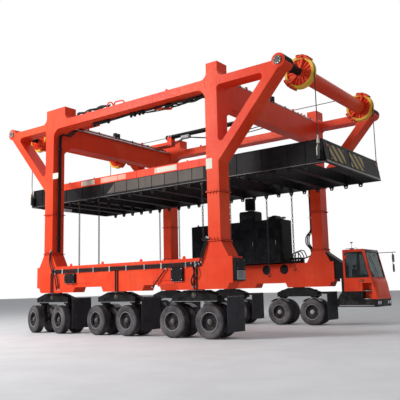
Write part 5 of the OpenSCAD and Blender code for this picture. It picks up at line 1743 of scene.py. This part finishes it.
@dataclass
class Cab:
    """The driver's cab: seals, raised panels, bulging nose, lamps, wipers, mirrors, seat and controls."""

    x: float = 5.36
    near: float = MID + 3.54
    wide: float = 1.6
    low: float = 1.07
    floor: float = 1.4
    top: float = 3.12
    sill: float = 1.96
    head: float = 3.02
    foot_l: float = 1.41
    roof_l: float = 0.94

    @property
    def far(self) -> float:
        """The far side's Y."""
        return self.near + self.wide

    def front(self, z: float | Array) -> float | Array:
        """The raked front's X at height z, on the straight line from foot to roof."""
        return self.x + self.foot_l - (self.foot_l - self.roof_l) * (z - self.low) / (self.top - self.low)

    def seals(self) -> None:
        """Rubber seals: a tube of flattened section round each window opening."""
        piece = Piece("cab_seals", "chassis", "hose_rubber")
        door = Piece("door_seals", "cab_door", "hose_rubber")
        y0, y1 = self.near + 0.09, self.far - 0.09
        a, b = self.sill, self.head
        x, low, high = self.x, self.front(a), self.front(b)
        across = ((y0, a), (y1, a), (y1, b), (y0, b))
        loops = [
            (piece, [(self.front(z) + 0.003, y, z) for y, z in across]),
            (piece, [(x - 0.003, y, z) for y, z in across]),
            (piece, [(u, self.far + 0.003, z) for u, z in ((x + 0.09, a), (low - 0.09, a), (high - 0.09, b),
                                                           (x + 0.09, b))]),
            (door, [(u, self.near - 0.003, z) for u, z in ((x + 0.106, a + 0.004), (low - 0.106, a + 0.004),
                                                           (high - 0.106, b - 0.012), (x + 0.106, b - 0.012))])]
        for target, corners in loops:
            ring = corners + corners[:2]
            start = [tuple((np.array(ring[0]) + np.array(ring[1])) / 2)]
            path = rounded_path(start + ring[1:5] + start, 0.05, 5)
            target.add(tube(path, 0.011, 8, (0.31, 0.52, 0.79)), Finish.PLASTIC)
        piece.make(smooth=60.0)
        door.make(smooth=60.0)

    def panels(self) -> None:
        """The bulging nose panel, the header over the windscreen, the roof's edge and the drip rails."""
        piece = Piece("cab_panels", "chassis", "vermilion_paint")
        rows, columns = 13, 17
        v, u = np.meshgrid(np.linspace(0, 1, rows), np.linspace(0, 1, columns), indexing="ij")
        z = 1.1 + v * 0.8
        y = self.near + 0.02 + u * (self.wide - 0.04)
        rounding = np.clip(1 - (2 * u - 1) ** 8, 0, 1) * np.clip(1 - (2 * v - 1) ** 6, 0, 1)
        skin = self.front(z)
        limit = self.x + self.foot_l - 0.0005
        bulge = np.minimum(skin + 0.002 + 0.1 * rounding * np.sqrt(v.clip(0.02, 1.0)),
            np.maximum(limit, skin + 0.002))
        outer = np.stack([bulge, y, z], -1).reshape(-1, 3)
        inner = np.stack([skin - 0.004, y, z], -1).reshape(-1, 3)
        grid = grid_faces(rows, columns, False, False)
        count = rows * columns
        index = np.arange(count).reshape(rows, columns)
        border = np.concatenate([index[0, :-1], index[:-1, -1], index[-1, :0:-1], index[:0:-1, 0]])
        after = np.roll(border, -1)
        sides = np.stack([border, after, after + count, border + count], -1)
        piece.add(Shape(np.concatenate([outer, inner]), [grid, grid[:, ::-1] + count, sides]),
            Finish.VERMILION)
        header = [(self.near + 0.1, 0.0), (self.far - 0.1, 0.0), (self.far - 0.1, 0.1),
            (self.near + 0.1, 0.1)]
        slope = np.array([-(self.foot_l - self.roof_l), 0.0, self.top - self.low])
        slope /= np.linalg.norm(slope)
        piece.add(prism(header, (self.front(3.01) + 0.001, 0, 3.01), (0, 1, 0), slope, 0.012, 0.002),
            Finish.PLASTIC)
        lip = [((self.x, self.near + 0.02, self.top - 0.002),
            (self.x + 0.03, self.far - 0.02, self.top + 0.012)),
            ((self.x + 0.03, self.near + 0.02, self.top - 0.002),
            (self.front(self.top) - 0.02, self.near + 0.05, self.top + 0.012)),
            ((self.x + 0.03, self.far - 0.05, self.top - 0.002),
            (self.front(self.top) - 0.02, self.far - 0.02, self.top + 0.012))]
        piece.add(blocks(lip, 0.004), Finish.VERMILION)
        piece.make(smooth=50.0)

    def door(self) -> None:
        """The door's raised lower panel, its handle and the hand rail beside it."""
        piece = Piece("door_dress", "cab_door", "vermilion_paint")
        y = self.near
        raised = [(5.47, 1.51), (6.02, 1.51), (6.02, 1.86), (5.47, 1.86)]
        piece.add(upright(raised, (0, y, 0), 0.014, 0.006), Finish.VERMILION)
        piece.add(block((6.1, y - 0.012, 1.79), (6.24, y, 1.87), 0.004), Finish.PLASTIC)
        grip = rounded_path([(6.12, y - 0.01, 1.83), (6.12, y - 0.045, 1.83), (6.22, y - 0.045, 1.83),
            (6.22, y - 0.01, 1.83)], 0.015, 4)
        piece.add(tube(grip, 0.007, 8, (0.0, 0.0, 1.0)), Finish.STEEL)
        piece.make()
        rail = Piece("hand_rails", "chassis", "bare_steel")
        foot, head = 6.685, 6.45
        path = rounded_path([(foot, y, 1.56), (foot, y - 0.055, 1.56), (head, y - 0.055, 2.5),
            (head, y, 2.5)], 0.04, 5)
        rail.add(tube(path, 0.011, 10, (1.0, 0.2, 0.3)), Finish.PLASTIC)
        roof = [(self.x + 0.12, y + 0.14, self.top), (self.x + 0.12, y + 0.14, self.top + 0.06),
            (self.x + 0.62, y + 0.14, self.top + 0.06), (self.x + 0.62, y + 0.14, self.top)]
        rail.add(tube(rounded_path(roof, 0.03, 4), 0.01, 8, SIDEWAYS), Finish.PLASTIC)
        rail.make(smooth=60.0)

    def front_gear(self) -> None:
        """Wiper, lamps in the skirt and nose, grille bars and the step's treads."""
        piece = Piece("cab_front_gear", "chassis", "dark_plastic")
        middle = self.near + self.wide / 2
        pivot = np.array([self.front(1.93) + 0.018, middle, 1.93])
        tip = np.array([self.front(2.7) + 0.016, middle - 0.28, 2.7])
        piece.add(tube(np.linspace(pivot, tip, 6), 0.008, 8, SIDEWAYS), Finish.PLASTIC)
        blade = np.array([self.front(2.95) - self.front(2.45), -0.1, 0.5])
        piece.add(tube(np.linspace(tip - blade * 0.55, tip + blade * 0.5, 7),
            [0.005, 0.008, 0.009, 0.009, 0.009, 0.008, 0.005], 8, SIDEWAYS), Finish.PLASTIC)
        piece.add(lathe([(0.001, 0.022), (0.022, 0.02), (0.028, 0.0), (0.028, -0.02)],
            turns=20).placed(facing((1, 0, 0.2)), pivot - (0.018, 0, 0)), Finish.PLASTIC)
        face = self.front(self.low) - 0.02
        for side in BOTH:
            y = middle + side * 0.56
            for shift in (-0.11, 0.11):
                lamp = lathe([(0.001, 0.012), (0.05, 0.01), (0.058, 0.004), (0.066, 0.012), (0.072, 0.0)],
                    turns=28)
                piece.add(lamp.placed(facing((1, 0, 0)), (face, y + shift, 0.92)), Finish.LAMP)
        bars = [((face, middle - 0.36, z), (face + 0.008, middle + 0.36, z + 0.02))
            for z in np.arange(0.82, 1.03, 0.04)]
        piece.add(blocks(bars, 0.003), Finish.BOLT)
        for z in (1.075, 1.4):
            tread = block((6.17, self.near + 0.03, z), (6.53, self.near + 0.26, z + 0.018), 0.004)
            piece.add(tread, Finish.STEEL)
            teeth = [((x, self.near + 0.04, z + 0.016), (x + 0.014, self.near + 0.25, z + 0.024))
                for x in np.arange(6.19, 6.51, 0.045)]
            piece.add(blocks(teeth, 0.002), Finish.CAST)
        piece.add(block((5.1, self.near + 0.012, 0.8), (6.6, self.near + 0.02, 0.83), 0.002), Finish.GREY)
        spots = [(x, self.near + 0.02, 0.98) for x in (5.2, 5.7, 6.2, 6.65)]
        piece.add(bolts(spots, (0, -1, 0), 0.026), Finish.BOLT)
        piece.make(smooth=50.0)

    def mirrors(self) -> None:
        """The mirror arm, stem and rounded heads, and the beacon and antenna on the roof."""
        piece = Piece("cab_mirrors_dressed", "chassis", "black_paint")
        y = self.far - 0.06
        piece.add(tube([(self.front(3.0) + 0.004, y, 3.0), (6.7, y, 3.0), (7.099, y, 3.0)], 0.014, 12),
            Finish.BLACK)
        piece.add(tube([(6.95, y, 2.161), (6.95, y, 2.6), (6.95, y, 3.014)], 0.014, 12, (0, 1, 0)),
            Finish.BLACK)
        piece.add(bolts([(self.front(3.0) + 0.002, y, 3.0)], (1, 0, 0), 0.05), Finish.BOLT)
        for low, high, half in ((2.581, 2.919, 0.109), (2.171, 2.499, 0.079)):
            u, v = np.meshgrid(np.arange(28) * TAU / 28, np.linspace(-1, 1, 7), indexing="ij")
            power = 0.45
            c, s = np.cos(u), np.sin(u)
            grow = np.sqrt(1 - 0.55 * np.clip(-v, 0, 1) ** 2)
            py = y + half * grow * np.sign(c) * np.abs(c) ** power
            pz = (low + high) / 2 + (high - low) / 2 * grow * np.sign(s) * np.abs(s) ** power
            px = 6.971 + 0.0185 * v
            points = np.stack([px, py, pz], -1).transpose(1, 0, 2).reshape(-1, 3)
            shell = Shape(points,
                [grid_faces(7, 28, False, True), np.arange(28)[None, ::-1], (np.arange(28) + 6 * 28)[None]])
            piece.add(shell, Finish.PLASTIC)
            glass = [(half * 0.86 * math.copysign(abs(math.cos(a)) ** power, math.cos(a)),
                (high - low) / 2 * 0.9 * math.copysign(abs(math.sin(a)) ** power, math.sin(a)))
                for a in np.arange(24) * TAU / 24]
            piece.add(prism(glass, (6.9535, y, (low + high) / 2), (0, 1, 0), (0, 0, 1), -0.002),
                Finish.MIRROR)
        bx, by = self.x + 0.33, self.near + 0.25
        beacon = [(0.001, 0.058), (0.06, 0.058), (0.09, 0.044), (0.104, 0.02), (0.109, 0.0)]
        piece.add(lathe(beacon, centre=(bx, by, self.top), turns=36), Finish.PLASTIC)
        piece.add(tube([(bx, by, self.top + 0.04), (bx, by, self.top + 0.16), (bx, by, self.top + 0.3)],
            [0.015, 0.01, 0.009], 10, (0, 1, 0)), Finish.STEEL)
        cap = [(0.001, 0.339), (0.04, 0.337), (0.058, 0.325), (0.058, 0.3), (0.04, 0.282), (0.001, 0.281)]
        piece.add(lathe(cap, centre=(bx, by, self.top), turns=28), Finish.AMBER)
        piece.make(smooth=50.0, replaces=["cab_mirrors"])

    def controls(self) -> None:
        """Consoles with sloped heads and joysticks, the screen post and the floor mat."""
        piece = Piece("cab_controls", "chassis", "dark_plastic")
        sx, sy, floor = self.x + 0.42, self.near + self.wide / 2, self.floor + 0.05
        for side in BOTH:
            y = sy + side * 0.36
            body = upright([(-0.149, 0.0), (0.329, 0.0), (0.329, 0.5), (0.2, 0.638), (-0.149, 0.638)],
                (sx, y + 0.079, floor), 0.158, 0.012)
            piece.add(body, Finish.PLASTIC)
            piece.add(lathe([(0.001, 0.0), (0.034, 0.0), (0.03, 0.02), (0.016, 0.045), (0.009, 0.05),
                (0.009, 0.085), (0.018, 0.092), (0.021, 0.115), (0.016, 0.132), (0.001, 0.134)],
                centre=(sx + 0.25, y, floor + 0.63), turns=20), Finish.HOSE)
            keys = [(sx + a, y + b, floor + 0.638) for a in (-0.1, -0.05, 0.0, 0.05)
                for b in (-0.04, 0.0, 0.04)]
            piece.add(bolts(keys, (0, 0, 1), 0.02, False), Finish.GREY)
        post = [(sx + 0.56, sy, 1.16), (sx + 0.56, sy, 1.7), (sx + 0.57, sy, 1.98)]
        piece.add(tube(post, 0.035, 16, (0, 1, 0)), Finish.PLASTIC)
        piece.add(block((sx + 0.521, sy - 0.199, 1.86), (sx + 0.58, sy + 0.199, 2.149), 0.015),
            Finish.PLASTIC)
        piece.add(block((sx + 0.52, sy - 0.175, 1.885), (sx + 0.5225, sy + 0.175, 2.125), 0.001),
            Finish.MIRROR)
        piece.add(block((sx + 0.521, sy - 0.199, 1.121), (sx + 0.619, sy + 0.199, 1.16), 0.006),
            Finish.PLASTIC)
        near, far = self.near, self.far
        linings = [((5.44, near + 0.09, 1.452), (6.5, far - 0.09, 1.464)),
            ((5.42, near + 0.07, 3.045), (6.26, far - 0.07, 3.062)),
            ((5.414, near + 0.08, 1.46), (5.424, far - 0.08, 1.94)),
            ((5.44, far - 0.065, 1.46), (6.4, far - 0.055, 1.94))]
        piece.add(blocks(linings, 0.002), Finish.HOSE)
        piece.make(replaces=["cab_console"])

    def build(self) -> None:
        """Builds the cab's dressing."""
        self.seals()
        self.panels()
        self.door()
        self.front_gear()
        self.mirrors()
        self.controls()


@dataclass
class Seat:
    """The driver's seat: a padded cushion, back and head rest, each swollen as cloth, on a pedestal."""

    x: float = 5.78
    y: float = MID + 4.34
    floor: float = 1.45
    cushion: float = 1.83

    def pad(self, name: str, low: Place, high: Place, channels: Sequence[float]) -> None:
        """One pad: a rounded block remeshed, blown up as cloth from inside, capped and smoothed.

        Args:
            name: the piece's name.
            low: lowest corner of the space that it may fill.
            high: highest corner of it.
            channels: places along Y, from 0 to 1, where a sewn channel draws the cover in.
        """
        low, high = np.array(low), np.array(high)
        shape = block(low + 0.014, high - 0.014, 0.02)
        mesh = bpy.data.meshes.new(name)
        mesh.from_pydata(shape.points.tolist(), [], [list(f) for group in shape.faces for f in group])
        pad = bpy.data.objects.new(name, mesh)
        bpy.context.scene.collection.objects.link(pad)
        bpy.context.view_layer.objects.active = pad
        remesh = pad.modifiers.new("voxels", "REMESH")
        remesh.mode, remesh.voxel_size = "VOXEL", 0.012
        self.apply(pad)
        start = self.points(pad)
        cloth = pad.modifiers.new("cloth", "CLOTH")
        cloth.settings.use_pressure = True
        cloth.settings.uniform_pressure_force = 4.0
        cloth.settings.effector_weights.gravity = 0.0
        for step in range(1, 13):
            bpy.context.scene.frame_set(step)
        self.apply(pad)
        bpy.context.scene.frame_set(1)
        moved = self.points(pad) - start
        far = np.linalg.norm(moved, axis=1, keepdims=True)
        points = start + moved * np.minimum(1.0, 0.012 / np.maximum(far, 1e-9))
        share = (points[:, 1] - low[1]) / (high[1] - low[1])
        middle = (low + high) / 2
        for channel in channels:
            dip = 0.01 * np.exp(-(((share - channel) / 0.018) ** 2))
            away = points - middle
            thin = int(np.argmin(high - low))
            points[:, thin] -= np.sign(away[:, thin]) * dip
        points = np.clip(points, low + 0.001, high - 0.001)
        pad.data.vertices.foreach_set("co", points.astype(np.float32).ravel())
        pad.data.shade_smooth()
        smooth = pad.modifiers.new("smooth", "SUBSURF")
        smooth.levels = smooth.render_levels = 1
        pad.data.materials.clear()
        pad.data.materials.append(finish(Finish.SEAT))
        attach(pad, "chassis")
        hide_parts("cab_seat")
        log.info("%s: %d points", name, len(points))

    @staticmethod
    def apply(pad: Object) -> None:
        """Puts the pad's shown shape into its mesh and clears its modifiers."""
        shown = pad.evaluated_get(bpy.context.evaluated_depsgraph_get())
        mesh = bpy.data.meshes.new_from_object(shown)
        pad.modifiers.clear()
        pad.data = mesh

    @staticmethod
    def points(pad: Object) -> Array:
        """The pad's points as an array."""
        flat = np.empty(len(pad.data.vertices) * 3, np.float32)
        pad.data.vertices.foreach_get("co", flat)
        return flat.reshape(-1, 3).astype(float)

    def build(self) -> None:
        """Builds the pads and the pedestal under them."""
        x, y, z = self.x, self.y, self.cushion
        self.pad("seat_cushion", (x - 0.18, y - 0.25, z), (x + 0.26, y + 0.25, z + 0.12), (0.22, 0.78))
        self.pad("seat_back", (x - 0.3, y - 0.25, z + 0.1), (x - 0.18, y + 0.25, z + 0.52), (0.22, 0.78))
        self.pad("seat_head_rest", (x - 0.29, y - 0.15, z + 0.54), (x - 0.19, y + 0.15, z + 0.7), ())
        piece = Piece("seat_pedestal", "chassis", "dark_plastic")
        piece.add(block((x - 0.19, y - 0.19, self.floor), (x + 0.19, y + 0.19, self.floor + 0.05), 0.01),
            Finish.CAST)
        folds = [(0.17 if k % 2 else 0.145, self.floor + 0.05 + 0.026 * k) for k in range(12)]
        piece.add(lathe([(0.001, folds[0][1])] + folds + [(0.001, folds[-1][1])], centre=(x, y, 0), turns=32),
            Finish.HOSE)
        piece.add(block((x - 0.29, y - 0.2, z - 0.035), (x + 0.2, y + 0.2, z + 0.004), 0.01), Finish.PLASTIC)
        for side in BOTH:
            piece.add(tube([(x - 0.235, y + side * 0.07, z + 0.5), (x - 0.235, y + side * 0.07, z + 0.57)],
                0.007, 8, (0, 1, 0)), Finish.STEEL)
            arm = block((x - 0.1, y + side * 0.262, z + 0.15), (x + 0.16, y + side * 0.277, z + 0.19), 0.006)
            piece.add(arm, Finish.PLASTIC)
        piece.make(smooth=30.0)


@dataclass
class Dressing:
    """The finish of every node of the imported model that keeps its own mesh."""

    looks: tuple[tuple[Finish, tuple[str, ...]], ...] = (
        (Finish.VERMILION, ("near_sill", "far_sill", "leg_sections", "near_portal", "far_portal", "cross_beams",
                            "end_pipes", "cylinder_saddles", "cab_shell", "cab_door", "frame_rails")),
        (Finish.BLACK, ("cab_carrier", "lifting_frame", "cross_members", "frame_lugs", "bogie_beams",
                        "sill_boxes", "hoist_cylinders", "cab_mirrors")),
        (Finish.PACK, ("power_pack",)),
        (Finish.STEEL, ("service_pipes",)),
        (Finish.CAST, ("nose_caps",)),
        (Finish.ROPE, ("rope_falls", "rope_runs")),
        (Finish.HOSE, ("hose_lines",)),
        (Finish.FLAP, ("mud_flaps",)),
        (Finish.GLASS, ("cab_glass", "door_glass")),
        (Finish.SEAT, ("cab_seat",)),
        (Finish.PLASTIC, ("cab_console",)),
        (Finish.STRIPES, ("marker_plates",)))

    def build(self) -> None:
        """Puts each node's finish into its slots; nodes not named are black painted."""
        named = {node: look for look, nodes in self.looks for node in nodes}
        for name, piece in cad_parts.items():
            material = finish(named.get(name, Finish.BLACK))
            piece.data.materials.clear()
            piece.data.materials.append(material)
            log.info("%s: %s", name, material.name)


@dataclass
class Studio:
    """The pale floor, the white surround, the soft lamps and the camera at the photograph's angle."""

    eye: tuple[float, float, float] = (15.686, -20.611, 1.616)
    yaw: float = 36.817
    pitch: float = 8.555
    roll: float = -1.35
    lens: float = 53.58
    sky: Colour = (0.92, 0.96, 1.0)
    sky_power: float = 0.27
    floor_size: float = 160.0

    def camera(self) -> None:
        """Sets the camera: it looks along (-sin yaw, cos yaw, tan pitch), turned round that by roll."""
        data = bpy.data.cameras.new("camera")
        data.lens, data.sensor_width, data.sensor_height = self.lens, 36.0, 36.0
        data.sensor_fit = "HORIZONTAL"
        data.clip_end = 500.0
        camera = bpy.data.objects.new("camera", data)
        bpy.context.scene.collection.objects.link(camera)
        yaw, pitch, roll = (math.radians(a) for a in (self.yaw, self.pitch, self.roll))
        turn = Matrix.Rotation(yaw, 4, "Z") @ Matrix.Rotation(math.pi / 2 + pitch, 4, "X")
        camera.matrix_world = Matrix.Translation(self.eye) @ turn @ Matrix.Rotation(roll, 4, "Z")
        bpy.context.scene.camera = camera

    def floor(self) -> None:
        """A large pale square on the ground, white where the camera sees it, apart from its shade."""
        size = self.floor_size
        mesh = bpy.data.meshes.new("floor")
        mesh.from_pydata([(-size, -size, 0), (size, -size, 0), (size, size, 0), (-size, size, 0)], [],
            [(0, 1, 2, 3)])
        floor = bpy.data.objects.new("floor", mesh)
        bpy.context.scene.collection.objects.link(floor)
        n = Nodes("pale_floor")
        n.colour(n.mix(n.ramp(n.noise(0.8, detail=3.0), 0.3, 0.7), srgb(214, 214, 216), srgb(222, 222, 224)))
        n.fix("Roughness", 0.75)
        mesh.materials.append(n.material)

    def world(self) -> None:
        """The surround: white to the camera and in reflections, a plain soft light for the rest."""
        world = bpy.data.worlds.new("studio")
        world.use_nodes = True
        tree = world.node_tree
        tree.nodes.clear()
        path = tree.nodes.new("ShaderNodeLightPath")
        seen = tree.nodes.new("ShaderNodeMath")
        seen.operation = "ADD"
        shown = tree.nodes.new("ShaderNodeMath")
        shown.operation, shown.use_clamp = "ADD", True
        lit, white = tree.nodes.new("ShaderNodeBackground"), tree.nodes.new("ShaderNodeBackground")
        for node, colour, strength in ((lit, self.sky, self.sky_power), (white, (1.0, 1.0, 1.0), 1.0)):
            node.inputs["Color"].default_value = (*colour, 1.0)
            node.inputs["Strength"].default_value = strength
        mix, output = tree.nodes.new("ShaderNodeMixShader"), tree.nodes.new("ShaderNodeOutputWorld")
        for start, end in ((path.outputs["Is Camera Ray"], seen.inputs[0]),
                (path.outputs["Is Transmission Ray"], seen.inputs[1]), (seen.outputs[0], shown.inputs[0]),
                (path.outputs["Is Glossy Ray"], shown.inputs[1]), (shown.outputs[0], mix.inputs[0]),
                (lit.outputs[0], mix.inputs[1]), (white.outputs[0], mix.inputs[2]),
                (mix.outputs[0], output.inputs["Surface"])):
            tree.links.new(start, end)
        bpy.context.scene.world = world

    def lamp(self, name: str, place: Place, aim: Place, size: float, power: float) -> None:
        """Hangs a square lamp at a place, facing a point."""
        data = bpy.data.lights.new(name, "AREA")
        data.shape, data.size, data.energy = "SQUARE", size, power
        lamp = bpy.data.objects.new(name, data)
        bpy.context.scene.collection.objects.link(lamp)
        way = Vector(aim) - Vector(place)
        lamp.matrix_world = Matrix.Translation(place) @ way.to_track_quat("-Z", "Y").to_matrix().to_4x4()

    def build(self) -> None:
        """Sets up the whole studio."""
        bpy.context.scene.view_settings.view_transform = "Standard"
        self.camera()
        self.floor()
        self.world()
        self.lamp("key", (-14.0, -24.0, 16.0), (0.0, -1.0, 4.0), 10.0, 8200.0)
        self.lamp("fill", (20.0, -14.0, 12.0), (0.0, 0.0, 3.0), 16.0, 260.0)
        self.lamp("top", (0.0, 0.0, 26.0), (0.0, 0.0, 0.0), 20.0, 1500.0)


def main() -> None:
    """Builds the machine's pieces in order, then the studio."""
    logging.basicConfig(level=logging.INFO, format="%(name)s %(message)s")
    Dressing().build()
    for part in (WheelPairs(), Sheaves(), Slings(), RopeSockets(), SideFrames(), HoistGear(), HoseRuns(),
            SillBoxes(), Bogies(), PowerPack(), LiftingFrame(), Cab(), Seat()):
        part.build()
    Studio().build()


if __name__ == "__main__":
    main()
